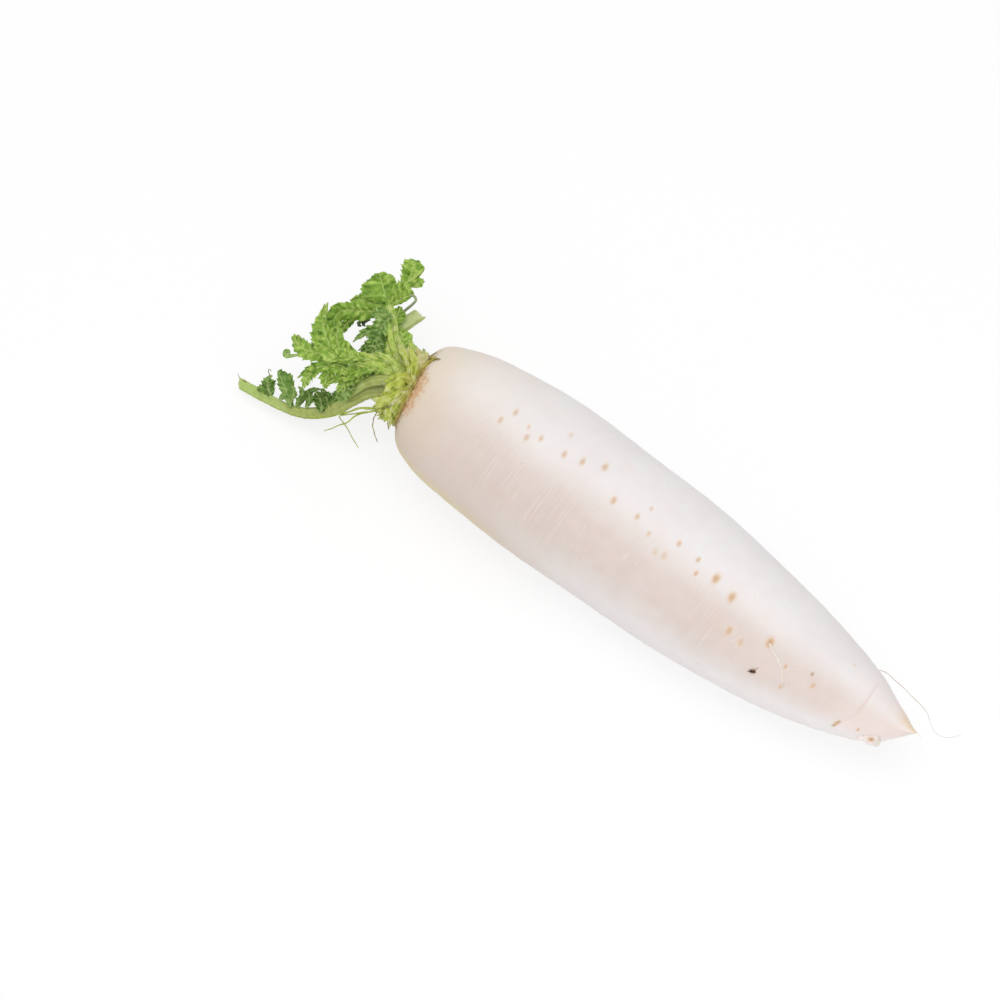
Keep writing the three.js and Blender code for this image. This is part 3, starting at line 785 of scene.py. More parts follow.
def stalk_finish(name, foot, body, tip, rib, deep, cut, spots=0.3):
    """Stalk: pale at its foot, green further out, with paler ribs, deeper green between them and
    fine fibres along it, and spots of both. The paler ribs and deeper grooves are partly their own
    colour and partly painted light on the ribs and painted shade between them. The masks come from
    the shape: reach (0 at the foot, 1 at the end), ridge (from -1 to 1), tone (paler above 0, deeper
    below; besides the stalk's own tone it holds painted shade on its edges and painted light and
    shade on its lumps) and cut."""
    made, tree, shader = material_with(
        name, Subsurface_Weight=0.25, Subsurface_Radius=(0.7, 1.0, 0.35), Subsurface_Scale=0.002,
        Specular_IOR_Level=0.35,
    )
    reach, ridge, tone = mask_of(tree, "reach"), mask_of(tree, "ridge"), mask_of(tree, "tone")
    patches = use(tree, MOTTLE, Patches=160.0, Contrast=1.4)["Mask"]
    shifted = calc(tree, "MULTIPLY_ADD", calc(tree, "SUBTRACT", patches, 0.5), 0.3, reach)
    base = blend_colour(tree, ease(tree, shifted, 0.0, 0.4), foot, body)
    base = blend_colour(tree, ease(tree, shifted, 0.45, 1.0), base, tip)
    base = blend_colour(tree, ease(tree, tone, 0.0, 1.0, 0.0, 0.8), base, cut)
    base = blend_colour(tree, ease(tree, tone, 0.0, -1.0, 0.0, 0.7), base, deep)
    fibres = use(tree, STREAKS, Along=7.0, Round=46.0, From=0.45, To=0.66)
    base = blend_colour(tree, calc(tree, "MULTIPLY", fibres["Mask"], 0.35), base, rib)
    # painted light on the ribs and painted shade in the grooves, over the ribs' own paler colour
    crests = calc(tree, "MULTIPLY_ADD", calc(tree, "SUBTRACT", patches, 0.5), 0.8, ridge)
    base = blend_colour(tree, ease(tree, crests, 0.1, 0.9, 0.0, 0.7), base, rib)
    base = blend_colour(tree, ease(tree, crests, -0.2, -1.0, 0.0, 0.55), base, deep)
    blotches = use(tree, MOTTLE, Patches=350.0, Contrast=2.2)["Mask"]
    base = blend_colour(tree, ease(tree, blotches, 0.5, 1.0, 0.0, 0.8 * spots), base, rib)
    base = blend_colour(tree, ease(tree, blotches, 0.45, 0.0, 0.0, 0.9 * spots), base, deep)
    base = blend_colour(tree, mask_of(tree, "cut"), base, cut)
    plug(tree, shader.inputs["Base Color"], base)
    plug(tree, shader.inputs["Roughness"], calc(tree, "MULTIPLY_ADD", patches, 0.2, 0.34))
    bump = add(tree, "ShaderNodeBump", Strength=0.35, Distance=0.0003, Height=fibres["Raw"])
    plug(tree, shader.inputs["Normal"], bump.outputs["Normal"])
    return made


def thread_finish(name, pale, dark):
    """Fibres, hairs and dry scraps: two colours in short uneven lengths."""
    made, tree, shader = material_with(name, Subsurface_Weight=0.1, Subsurface_Scale=0.001)
    patches = use(tree, MOTTLE, Patches=260.0, Contrast=2.0)["Mask"]
    plug(tree, shader.inputs["Base Color"], blend_colour(tree, patches, pale, dark))
    plug(tree, shader.inputs["Roughness"], calc(tree, "MULTIPLY_ADD", patches, 0.2, 0.5))
    bump = add(tree, "ShaderNodeBump", Strength=0.3, Distance=0.0002, Height=patches)
    plug(tree, shader.inputs["Normal"], bump.outputs["Normal"])
    return made


LEAF = leaf_finish("leaf blade", colour(66, 104, 8), colour(124, 162, 52), colour(186, 212, 106),
                   colour(196, 214, 130))
DARK_LEAF = leaf_finish("young dark leaf", colour(62, 94, 14), colour(112, 150, 66),
                        colour(170, 194, 114), colour(182, 204, 132))
WITHERED = leaf_finish("withered scrap", colour(26, 40, 14), colour(48, 70, 34), colour(88, 112, 66),
                       colour(96, 118, 74))
STALK = stalk_finish("leaf stalk", colour(196, 198, 84), colour(170, 196, 70), colour(160, 190, 76),
                     colour(218, 228, 140), colour(112, 144, 28), colour(216, 222, 166), 0.55)
OUTER_STALK = stalk_finish("outer leaf stalk", colour(178, 182, 108), colour(172, 182, 98),
                           colour(178, 204, 112), colour(202, 212, 138), colour(130, 142, 64),
                           colour(206, 210, 150), 0.22)
BASE = stalk_finish("trimmed stalk base", colour(180, 176, 62), colour(180, 196, 62),
                    colour(192, 206, 84), colour(220, 228, 128), colour(116, 128, 22),
                    colour(226, 222, 172), 0.34)
DRY_SHEATH = stalk_finish("drying sheath", colour(176, 150, 70), colour(200, 190, 104),
                          colour(196, 202, 110), colour(220, 216, 160), colour(156, 122, 48),
                          colour(220, 214, 160), 0.3)
PALE_STALK = stalk_finish("cut pale stalk", colour(194, 202, 124), colour(192, 206, 134),
                          colour(200, 214, 146), colour(218, 226, 170), colour(158, 174, 88),
                          colour(216, 222, 176), 0.15)
GREY_STALK = stalk_finish("curled grey stalk", colour(120, 134, 96), colour(144, 158, 116),
                          colour(170, 180, 140), colour(210, 214, 188), colour(104, 120, 76),
                          colour(160, 170, 138), 0.4)
FIBRE = thread_finish("peeled fibre", colour(184, 200, 88), colour(144, 164, 48))
BROWN_FIBRE = thread_finish("brown fibre", colour(170, 156, 78), colour(112, 100, 44))
HAIR = thread_finish("root hair", colour(222, 212, 198), colour(186, 172, 154))
PALE_HAIR = thread_finish("pale root hair", colour(250, 242, 236), colour(236, 222, 208))
BRISTLE = thread_finish("dark bristle", colour(96, 62, 34), colour(40, 24, 14))
DRY = stalk_finish("dry scale", colour(150, 128, 50), colour(176, 166, 62), colour(186, 176, 84),
                   colour(206, 196, 112), colour(96, 72, 24), colour(160, 140, 70), 0.5)

# --- Shapes of the tuft ---------------------------------------------------------------------------


def stalk_skin(line, widths, depths, facing=NEAR, sides=40, steps=80, ribs=9, rib_depth=0.08,
               groove=0.0, slant=0.0, ragged=0.0, seed=1, blunt=True, crest=0.0, lumps=0.0, tone=0.0,
               shade=0.4):
    """An oval section carried along a line, ribbed all round, with a groove down its facing side.
    rib_depth is the ribs' height as a share of the section, and crest adds to it in millimetres,
    squarely off the oval, as lumps adds an uneven quilt, whose rises are painted paler and hollows
    deeper as painted light and shade. shade is painted shade that deepens the colour of its two edges.
    The end is cut off: its rim is turned in over a few rings and its face is slightly hollow. slant
    tips the cut along the stalk, and ragged lets the rim run on unevenly by that many millimetres."""
    path = route(line, steps)
    along, wide, deep = carried_frame(path, facing)
    share = np.linspace(0, 1, steps)[:, None]
    turn = 2 * np.pi * np.arange(sides)[None, :] / sides
    draw = np.random.default_rng(seed)
    phase = draw.uniform(0, 6.3)
    ridge = 0.65 * np.cos(ribs * turn + phase + 0.5 * np.sin(3 * share * np.pi + phase))
    ridge = ridge + 0.45 * np.cos((ribs // 2 + 1) * turn - phase + 0.8 * np.sin(4 * share + phase))
    ridge = ridge * (0.75 + 0.35 * ripple(seed + 9, share * 1.3 + turn / 5, 2.0))
    swell = 1 + rib_depth * ridge + 0.05 * ripple(seed, share + turn / 9, 2.0)
    hollow = groove * np.exp(-((np.cos(turn) / 0.42) ** 2)) * (np.sin(turn) > 0)
    half_width = spread(widths, steps)[:, None] / 2
    half_depth = spread(depths, steps)[:, None] / 2
    x = half_width * np.cos(turn) * swell
    y = half_depth * np.sin(turn) * swell - hollow * half_depth * 1.4
    off = unit(np.stack([half_depth * np.cos(turn), half_width * np.sin(turn)], axis=-1))
    length = np.linalg.norm(np.diff(path, axis=0), axis=1).sum()
    quilt = crumple(seed + 13, share * length * 0.7, half_width * np.cos(turn), 1.7)
    rise = (crest * ridge + lumps * quilt) * smooth(0, 0.08, share)
    x, y = x + rise * off[..., 0], y + rise * off[..., 1]
    tear = ragged * (ripple(seed + 3, turn / (2 * np.pi), 3.0) + 0.7 * ripple(seed + 5, turn / 6.3, 9.0))
    reach = smooth(0.55, 1.0, share) * (tear + slant * x)
    rings = (path[:, None] + x[..., None] * wide[:, None] + y[..., None] * deep[:, None]
             + reach[..., None] * along[:, None])

    inward = np.array([0.05, 0.14, 0.3, 0.55, 0.8]) if blunt else np.array([0.3, 0.7])
    sink = np.array([0.0, 0.12, 0.3, 0.42, 0.45]) if blunt else np.array([-0.3, -0.6])
    last, middle = rings[-1], rings[-1].mean(axis=0)
    cap = last + (middle - last) * inward[:, None, None] - along[-1] * sink[:, None, None]
    rings = np.concatenate([rings, cap])
    ridge_mask = ridge * min(1, (crest + rib_depth) / 0.3) * np.ones((steps, sides))
    cap_shape = np.ones((len(inward), sides))
    cut = np.concatenate([smooth(0.985, 1.0, share) * np.ones((steps, sides)), cap_shape])
    return skin(
        rings,
        reach=np.concatenate([share * np.ones((steps, sides)), cap_shape]),
        ridge=np.concatenate([ridge_mask, 0 * cap_shape]),
        cut=cut if blunt else 0 * cut,
        # tone: the stalk's own tone, painted light and shade on the lumps of the quilt, and painted shade on
        # both edges
        tone=tone + np.concatenate([2.2 * lumps * quilt - shade * np.cos(turn) ** 6, 0 * cap_shape]),
    )


MIDRIB_RISE = 0.35  # how far a midrib stands out at its foot, before its scaling


def blade_skin(line, left, right, facing=NEAR, teeth=7, tooth=0.9, lean=0.45, fold=0.12, cup=0.0,
               ruffle=0.5, waves=2.5, pucker=0.35, veins=6, tone=0.0, thick=0.45, seed=1,
               steps=96, across=13, vein_width=0.35):
    """One lobe of a leaf: a thin closed skin round its midrib. A point at share s along the midrib
    and t across (-1 to 1) lies t times the half width out, and forward by lean times that, as the
    side veins run. The margin has pointed teeth. The lift off the flat adds a fold along the
    midrib, a cup across it, puckers between the side veins and waves that grow to the margin. The
    lower face is the upper one moved by the thickness, with the midrib standing out of it."""
    path = route(line, steps)
    along, wide, deep = carried_frame(path, facing)
    s = np.linspace(0, 1, steps)[:, None]
    t = np.sin(np.linspace(-1, 1, 2 * across + 1) * np.pi / 2)[None, :] * 0.35
    t = t + np.linspace(-1, 1, 2 * across + 1)[None, :] * 0.65
    draw = np.random.default_rng(seed)
    shift = draw.uniform(0, 1, 6)
    half = np.where(t < 0, spread(left, steps)[:, None], spread(right, steps)[:, None])
    half = np.maximum(half, 0.05)
    ends = smooth(0.0, 0.06, s) * smooth(1.0, 0.97, s)
    saw = (s * teeth + np.where(t < 0, shift[0], shift[1])) % 1.0
    tooth = np.where(t < 0, *np.broadcast_to(tooth, 2))
    bite = tooth * (saw**1.4 - 0.35) * np.abs(t) ** 5 * np.minimum(1, half / 2.5)
    small_saw = (s * teeth * 2.7 + shift[2]) % 1.0
    bite = bite + 0.35 * tooth * (small_saw - 0.5) * np.abs(t) ** 7 * np.minimum(1, half / 2.5)
    out = (np.abs(t) * half + bite) * np.sign(t)
    forward = lean * np.abs(out) * smooth(1.15, 0.5, s)

    vein_place = s * veins + np.where(t < 0, 0.0, 0.35)
    between = np.abs(np.sin(np.pi * vein_place)) ** 0.8
    side = np.abs(t)
    bulge = pucker * between * (4 * side * (1.05 - side)) ** 0.7
    wave = np.sin(2 * np.pi * (waves * s + np.where(t < 0, shift[3], shift[4])))
    wave = wave + 0.5 * np.sin(2 * np.pi * (2.3 * waves * s + shift[5]))
    lift = fold * np.abs(out) - cup * out**2 / 4 + bulge
    lift = lift + ruffle * wave * side**2 * np.minimum(1, half / 3)
    reach = np.linalg.norm(path[-1] - path[0]) * s
    quilt = crumple(seed + 11, reach + 0 * out, out, 1.5) * np.minimum(1, half / 1.5)
    lift = lift + (0.25 * ripple(seed + 11, s + 0.4 * t, 2.0) + 0.26 * quilt) * ends
    groove = 0.3 * np.exp(-((out / 0.5) ** 2))
    upper = (path[:, None] + out[..., None] * wide[:, None] + (lift - groove)[..., None] * deep[:, None]
             + forward[..., None] * along[:, None])
    thickness = thick * (1 - 0.75 * side**6) * np.minimum(1, half / 0.8)
    midrib = MIDRIB_RISE * np.exp(-((out / 0.55) ** 2)) * (1 - 0.7 * s) * np.minimum(1, half / 0.8)
    lower = upper - (thickness + midrib * 1.6)[..., None] * deep[:, None]
    rings = np.concatenate([upper, lower[:, ::-1]], axis=1)

    line_width = vein_width * (1 - 0.6 * s)
    middle_vein = np.exp(-((out / (line_width + 0.12)) ** 2))
    side_vein = np.exp(-(((between**1.25) * half / veins * 3.2 / vein_width) ** 2)) * (1 - side) ** 0.5
    vein = np.clip(middle_vein + 0.55 * side_vein, 0, 1)
    # painted light and shade along the waves and the quilt of the lift, and on the flanks of the side veins,
    # where one flank is paler and the other deeper; the leaf is also darker between the side veins and paler
    # near them
    fold_light_and_shade = np.sin(2 * np.pi * vein_place) * side**0.6  # one flank of each side vein is paler
    tones = tone + 0.05 - 0.6 * (between - 0.65) * (1 - 0.5 * side) + 0.25 * wave * side + 0.26 * quilt
    tones = tones + 0.42 * fold_light_and_shade * (0.8 + 0.5 * ripple(seed + 17, s * 1.3 + 0.3 * t, 2.0))
    rim = smooth(0.86, 1.0, side) * np.ones_like(s)

    def both(mask):
        """The mask of the upper face, and the same again in turned order for the lower face."""
        return np.concatenate([mask, mask[:, ::-1]], axis=1)

    return skin(rings, vein=both(vein * np.ones_like(out)), tone=both(tones * np.ones_like(out)),
                rim=both(rim))


def thread_skin(line, thick=0.5, thin=0.2, steps=90, sides=8, seed=1, wander=0.25):
    """A thin round thread along a line, that wanders a little and tapers."""
    path = route(line, steps)
    share = np.linspace(0, 1, steps)
    sway = np.stack([ripple(seed + axis, share, 3.0) for axis in range(3)], axis=1)
    path = path + wander * sway * np.sin(np.pi * share)[:, None] ** 0.5
    _, wide, deep = carried_frame(path, np.array([0.13, 0.21, 0.97]))
    turn = 2 * np.pi * np.arange(sides) / sides
    half = (thick + (thin - thick) * share) / 2 * (1 + 0.15 * ripple(seed + 7, share, 6.0))
    rings = (path[:, None]
             + half[:, None, None] * (np.cos(turn)[None, :, None] * wide[:, None]
                                      + np.sin(turn)[None, :, None] * deep[:, None]))
    return skin(rings)


# --- Leaves ---------------------------------------------------------------------------------------


def lobes(*specs):
    """Blade skins from (route in the crown's directions, left half widths, right half widths,
    settings)."""
    return [blade_skin(crown_point(line), left, right, **settings)
            for line, left, right, settings in specs]


UP_AND_NEAR = crown_way(-0.3, 0.0, 1.0)  # squarely at the side that is seen most


def long_stalk():
    """The longest stalk, cut off at its end, with small leaf lobes, a tendril and a tuft of fibre."""
    line = stalk_route((-6, 2), [
        (8, -6.5, 2), (13, -9.8, 0.6), (18.2, -13.2, -1), (22, -17.5, -3), (25.6, -22.2, -5),
        (29.5, -27.6, -8), (34.2, -32, -11), (40.3, -36.5, -13), (47, -39.8, -14.4), (55.4, -42, -15.4),
        (67, -43.5, -16.6), (83, -45, -18)])
    stalk = stalk_skin(line, [4.8, 5.6, 6.4, 6.8, 6, 5.2, 5, 5.2, 4.9],
                       [3.6, 3.6, 3.8, 4, 3.6, 3.5, 3.5, 3.2], ribs=9, rib_depth=0.03, crest=0.12,
                       lumps=0.06, tone=0.1, groove=0.25, slant=0.55, ragged=0.3, seed=21, steps=150)
    piece("leaf_long", [stalk], OUTER_STALK, "leaf_long")
    blades = lobes(
        ([(64.2, -41.4, -15.4), (68, -38.7, -14), (69.9, -35.2, -13.4), (69.2, -32.9, -13)],
         [1.6, 3.2, 3.2, 1.6, 0.4], [2.0, 4.2, 4.2, 2.4, 0.6],
         dict(facing=crown_way(0.1, 0.2, 1), tooth=1.2, ruffle=0.9, tone=-0.5, seed=31)),
        ([(68.5, -41.5, -14.8), (70.5, -41.4, -14.6), (73, -41.6, -14.6)], [0.8, 1.5, 0.5],
         [0.8, 1.3, 0.4],
         dict(facing=UP_AND_NEAR, tooth=0.7, ruffle=0.5, tone=-0.2, seed=32, steps=40)),
        ([(51.6, -40.6, -13), (56.4, -36.4, -12), (61.4, -33, -11), (66.8, -29.2, -10)],
         [0.8, 2.4, 2.4, 0.5], [1.4, 4.4, 5.4, 1.8],
         dict(facing=crown_way(-0.1, 0.3, 1), tooth=0.9, ruffle=0.8, fold=0.2, pucker=0.5, tone=-0.1,
              seed=33)),
        ([(55, -37.5, -12.2), (57.6, -38.2, -12), (58.8, -40.2, -12)], [0.8, 1.6, 0.5], [0.8, 1.6, 0.5],
         dict(facing=UP_AND_NEAR, tooth=0.8, ruffle=0.6, tone=-0.4, seed=43, steps=40)),
        ([(53, -39, -12.4), (53.4, -34.6, -11), (56, -31.6, -10)], [0.5, 1.4, 0.4], [0.5, 1.6, 0.4],
         dict(facing=crown_way(0.1, 0.3, 1), tooth=0.9, ruffle=0.8, tone=-0.1, seed=39, steps=50)),
        ([(44, -36.4, -10.6), (45, -32, -9.8), (47.6, -29.2, -9)], [0.8, 2.0, 0.6], [0.8, 2.4, 0.6],
         dict(facing=crown_way(-0.2, 0.2, 1), tooth=1.0, ruffle=0.9, tone=-0.4, seed=40, steps=60)),
        ([(49.9, -38.8, -12.4), (49.3, -34.4, -11), (50.2, -30.8, -10), (53.2, -30, -9.4)],
         [0.6, 1.8, 1.6, 0.4], [0.9, 2.0, 1.4, 0.4],
         dict(facing=crown_way(0.3, 0.1, 1), tooth=0.9, ruffle=0.8, tone=-0.5, seed=34, steps=60)),
        ([(48.4, -38.6, -12.4), (48.2, -32.6, -11), (46.4, -28, -10), (43, -25, -9)],
         [0.6, 1.5, 1.5, 0.4], [0.6, 1.5, 1.6, 0.4],
         dict(facing=crown_way(-0.2, 0.5, 1), tooth=0.6, ruffle=0.4, tone=-0.2, seed=35)),
        ([(35.8, -34, -9.4), (38.6, -30.2, -8.6), (41.8, -28.2, -7.8), (43.6, -27.8, -7.6)],
         [1.6, 3.6, 3.4, 0.8], [1.8, 4.2, 3.6, 0.8],
         dict(facing=crown_way(-0.3, 0.2, 1), tooth=1.0, ruffle=0.9, pucker=0.6, tone=-0.5, seed=36)),
        ([(33.8, -30.5, -9), (37.6, -26.8, -8), (41.9, -24.6, -7.2)], [1.2, 2.2, 0.6], [1.2, 2.6, 0.6],
         dict(facing=crown_way(-0.3, 0.4, 1), tooth=1.0, ruffle=0.8, tone=-0.6, seed=38, steps=70)),
        ([(32.5, -30, -8.6), (33.7, -24.5, -8), (33.9, -19.5, -7)], [0.9, 2.2, 0.6], [0.9, 2.0, 0.6],
         dict(facing=UP_AND_NEAR, tooth=1.0, ruffle=0.8, tone=-0.4, seed=37, steps=70)),
    )
    piece("leaf_long_lobes", blades, DARK_LEAF)
    tendril = thread_skin(crown_point([(69.8, -34.6, -13.2), (70.4, -33.2, -13), (71.8, -32.4, -13),
                                       (72.4, -31.4, -13), (71.4, -31, -13), (70.8, -31.6, -13)]),
                          0.5, 0.3, steps=50, seed=5, wander=0.1)
    speck = thread_skin(crown_point([(81.6, -42.6, -16.6), (80.6, -42.4, -16.4), (80, -42.8, -16.6)]),
                        0.9, 0.5, steps=16, seed=6, wander=0.05)
    tuft = [thread_skin(crown_point([(84, -43, -16.8), (85.2 + i, -42 + 0.6 * i, -16.4)]), 0.4, 0.2,
                        steps=16, seed=7 + i, wander=0.05) for i in range(2)]
    piece("leaf_long_tendril", [tendril, speck, *tuft], BROWN_FIBRE)


def broad_leaf():
    """The broad leaf: its ribbed stalk, a young stalk beside it, its blades and their curls."""
    line = stalk_route((1, 7), [(8, 2.4, 6.8), (16, 1.6, 7.2), (24.3, -1.5, 8), (32, -4.8, 7.8),
                                (39, -7.9, 7)])
    stalk = stalk_skin(line, [5.4, 7, 8.4, 8, 5.5, 2.2], [3, 2.6, 2.2, 2, 1.5, 0.8], ribs=13,
                       rib_depth=0.05, crest=0.34, lumps=0.16, groove=0.1, seed=41, blunt=False,
                       facing=UP_AND_NEAR, steps=110)
    young = stalk_skin(crown_point([(3.4, 2, 7.4), (8.1, 3.4, 8.6), (13.8, 4.8, 9.2), (18.7, 4.8, 9.4),
                                    (23.7, 3, 9.2)]), [3, 3.4, 3, 2.6, 1.6], [1.6, 1.6, 1.4, 1.2, 0.8],
                       ribs=7, crest=0.2, lumps=0.22, tone=0.3, seed=42, steps=70, ragged=0.6)
    piece("leaf_broad_stalk", [stalk, young], STALK)
    fold_away = crown_way(-0.3, 0.5, 1)
    blades = lobes(
        # the blade that begins on the stalk itself
        ([(22.2, 0.1, 9.2), (26.8, -1.7, 9.8), (31.7, -3.6, 9.6), (37.3, -4.7, 9)], [0.6, 1.8, 3.0, 2.6],
         [0.6, 1.8, 2.6, 2.2],
         dict(facing=crown_way(-0.3, 0.1, 1), teeth=7, tooth=0.4, lean=0.8, ruffle=0.5, waves=4,
              pucker=0.5, veins=10, tone=0.15, vein_width=0.2, thick=0.3, seed=48, steps=100)),
        # the tall lobe and its small finger
        ([(25.4, -3.6, 8.8), (33.3, -6.2, 8.9), (40.5, -7.6, 8.4), (47.6, -3.4, 8.4), (52.4, 0.2, 8.6),
          (56.6, 4.3, 8), (59.6, 9.8, 6)],
         [0.6, 1.6, 3.0, 6.2, 7.0, 4.8, 1.5, 0.4], [0.6, 1.6, 2.4, 3.4, 3.2, 1.8, 1.0, 0.3],
         dict(facing=crown_way(-0.4, -0.2, 1), teeth=11, tooth=1.3, ruffle=0.9, fold=0.15, pucker=0.6,
              veins=9, tone=0.15, seed=51, steps=150, across=16)),
        ([(54.5, 4, 8.4), (56.8, 7.6, 7.8), (58.4, 11.2, 7)], [1.2, 1.1, 0.3], [1.2, 1.0, 0.3],
         dict(facing=UP_AND_NEAR, tooth=0.6, ruffle=0.3, tone=0.1, seed=52, steps=40)),
        # the lobe on its right, that rises from the stalk's upper edge
        ([(22, -1.4, 8), (28.5, -3, 8), (35.3, -3.9, 7.6), (41.2, -3.2, 6.8), (45.4, 0.6, 6),
          (48.6, 6.6, 4.4)], [0.6, 2.2, 3.0, 3.2, 3.0, 2.2, 0.6], [0.6, 2.2, 4.2, 4.6, 3.6, 2.4, 0.7],
         dict(facing=crown_way(-0.3, 0.3, 1), teeth=10, tooth=(1.0, 0.2), ruffle=0.8, pucker=0.6,
              veins=9, tone=0.1, seed=53, steps=140, across=15)),
        # the left lobe
        ([(26.5, -5.5, 8.2), (33.2, -7.2, 8.1), (41.4, -9.4, 7.6), (48.6, -11.8, 7.2),
          (55.1, -13.4, 6), (60.9, -12.8, 4.5), (65.4, -11, 2.2)],
         [0.5, 1.2, 2.0, 3.6, 4.4, 4.2, 3.2, 0.8], [0.5, 1.4, 2.6, 3.8, 3.8, 3.8, 3.4, 1.0],
         dict(facing=crown_way(-0.2, -0.2, 1), teeth=12, tooth=1.2, ruffle=1.0, pucker=0.6, veins=9,
              tone=0.15, seed=54, steps=150, across=15)),
        # the hanging lobe and its side teeth
        ([(33, -9, 6.6), (39.3, -13.1, 6), (44.9, -17.1, 4.5), (49.5, -21.8, 2), (52.6, -26.9, -1)],
         [1.2, 2.6, 3.0, 2.4, 1.2, 0.3], [1.2, 2.6, 3.0, 2.2, 1.1, 0.3],
         dict(facing=crown_way(-0.5, 0.3, 1), teeth=7, tooth=1.3, ruffle=0.7, fold=0.3, tone=-0.2,
              seed=55)),
        ([(43, -16.4, 4.2), (46.8, -22, 2.6), (47.6, -25.6, 1), (47.1, -29.2, -1)],
         [1.4, 2.8, 2.4, 0.6], [1.4, 2.6, 2.2, 0.6],
         dict(facing=crown_way(-0.2, 0.0, 1), teeth=5, tooth=1.4, ruffle=0.7, tone=0.15, seed=56,
              steps=80)),
        ([(35.6, -10.4, 6.4), (37.8, -15.3, 5.5), (38.4, -19.3, 4), (36.5, -23.4, 1.5)],
         [1.4, 2.8, 2.8, 0.8], [1.4, 3.0, 2.8, 0.8],
         dict(facing=crown_way(-0.4, 0.2, 1), teeth=7, tooth=1.2, ruffle=1.0, pucker=0.6, tone=0.15,
              seed=57, steps=90)),
        # the crinkled band under the stalk, in two layers
        ([(14, -0.4, 7), (20, -3.2, 6.8), (26.5, -7.4, 6.4), (33, -11.2, 6.2), (39.6, -14.4, 6)],
         [1.4, 2.8, 3.4, 3.4, 2.4], [1.4, 2.8, 3.2, 2.8, 1.6],
         dict(facing=fold_away, teeth=13, tooth=1.1, ruffle=1.5, waves=6, pucker=0.8, veins=11,
              tone=0.2, seed=58, steps=140, across=15)),
        ([(17.9, -2, 8.4), (21.3, -4.9, 8.4), (24.4, -7.6, 7.6), (28.2, -11.2, 6.6), (33, -14.8, 5.4)],
         [0.8, 2.0, 2.8, 3.0, 2.0], [0.8, 1.8, 2.4, 2.6, 1.4],
         dict(facing=crown_way(-0.1, 0.4, 1), teeth=11, tooth=0.9, ruffle=1.2, waves=5, pucker=0.8,
              veins=9, tone=0.1, seed=44)),
        # lobes that hang from it
        ([(22.6, -7.4, 5.2), (26.9, -12.4, 4.8), (29.3, -16.9, 4), (29.9, -21.8, 2.4)],
         [1.4, 2.6, 2.4, 0.6], [1.4, 3.0, 2.8, 0.6],
         dict(facing=crown_way(-0.3, 0.3, 1), teeth=6, tooth=1.0, ruffle=1.0, pucker=0.6, tone=0.0,
              seed=59, steps=80)),
        ([(27.6, -9.8, 6), (31.5, -14.2, 5), (34.6, -17.4, 4), (36, -20.8, 3)], [1.2, 2.2, 2.0, 0.5],
         [1.2, 2.2, 2.2, 0.5],
         dict(facing=crown_way(-0.2, 0.2, 1), teeth=6, tooth=1.0, ruffle=1.0, tone=0.2, seed=45,
              steps=70)),
    )
    piece("leaf_broad", blades, LEAF, "leaf_broad")
    curls = lobes(
        ([(56.5, -17.5, 5), (59.6, -20, 5), (61.6, -21.2, 5), (62.8, -19.8, 5.2), (61.8, -18.6, 5.2),
          (60.6, -19.4, 5)], [0.6, 0.8, 1.1, 1.1, 0.5], [0.6, 0.8, 1.1, 1.1, 0.5],
         dict(facing=UP_AND_NEAR, tooth=0.4, ruffle=0.2, pucker=0.1, tone=0.1, seed=60, lean=0.1)),
        ([(13.4, -0.6, 5.6), (17.4, -3.9, 4.8), (20.7, -6.6, 4), (24, -10, 2.4)], [1.2, 2.2, 2.2, 0.8],
         [1.2, 2.0, 2.0, 0.8],
         dict(facing=UP_AND_NEAR, teeth=5, tooth=0.8, ruffle=0.6, tone=-0.2, seed=62, steps=70)),
        ([(24.6, -12.4, 4.8), (26.2, -14.4, 4.6), (26.7, -16.4, 4.4), (24.8, -17.2, 4.4),
          (23.6, -15.2, 4.2)], [0.6, 1.2, 1.0, 0.4], [0.6, 1.2, 1.0, 0.4],
         dict(facing=crown_way(0.2, 0.6, 1), tooth=0.6, ruffle=0.4, tone=-0.9, seed=61, lean=0.2)),
        ([(27, -9.6, 4.8), (27.6, -14.4, 3.8), (28, -19, 1.8), (29.4, -24, -2)],
         [1.6, 3.4, 3.8, 1.4], [1.6, 3.2, 3.4, 1.2],
         dict(facing=crown_way(-0.3, 0.5, 1), teeth=5, tooth=0.9, ruffle=0.9, pucker=0.6, tone=0.1,
              seed=46, steps=90)),
    )
    piece("leaf_broad_curls", curls, DARK_LEAF)


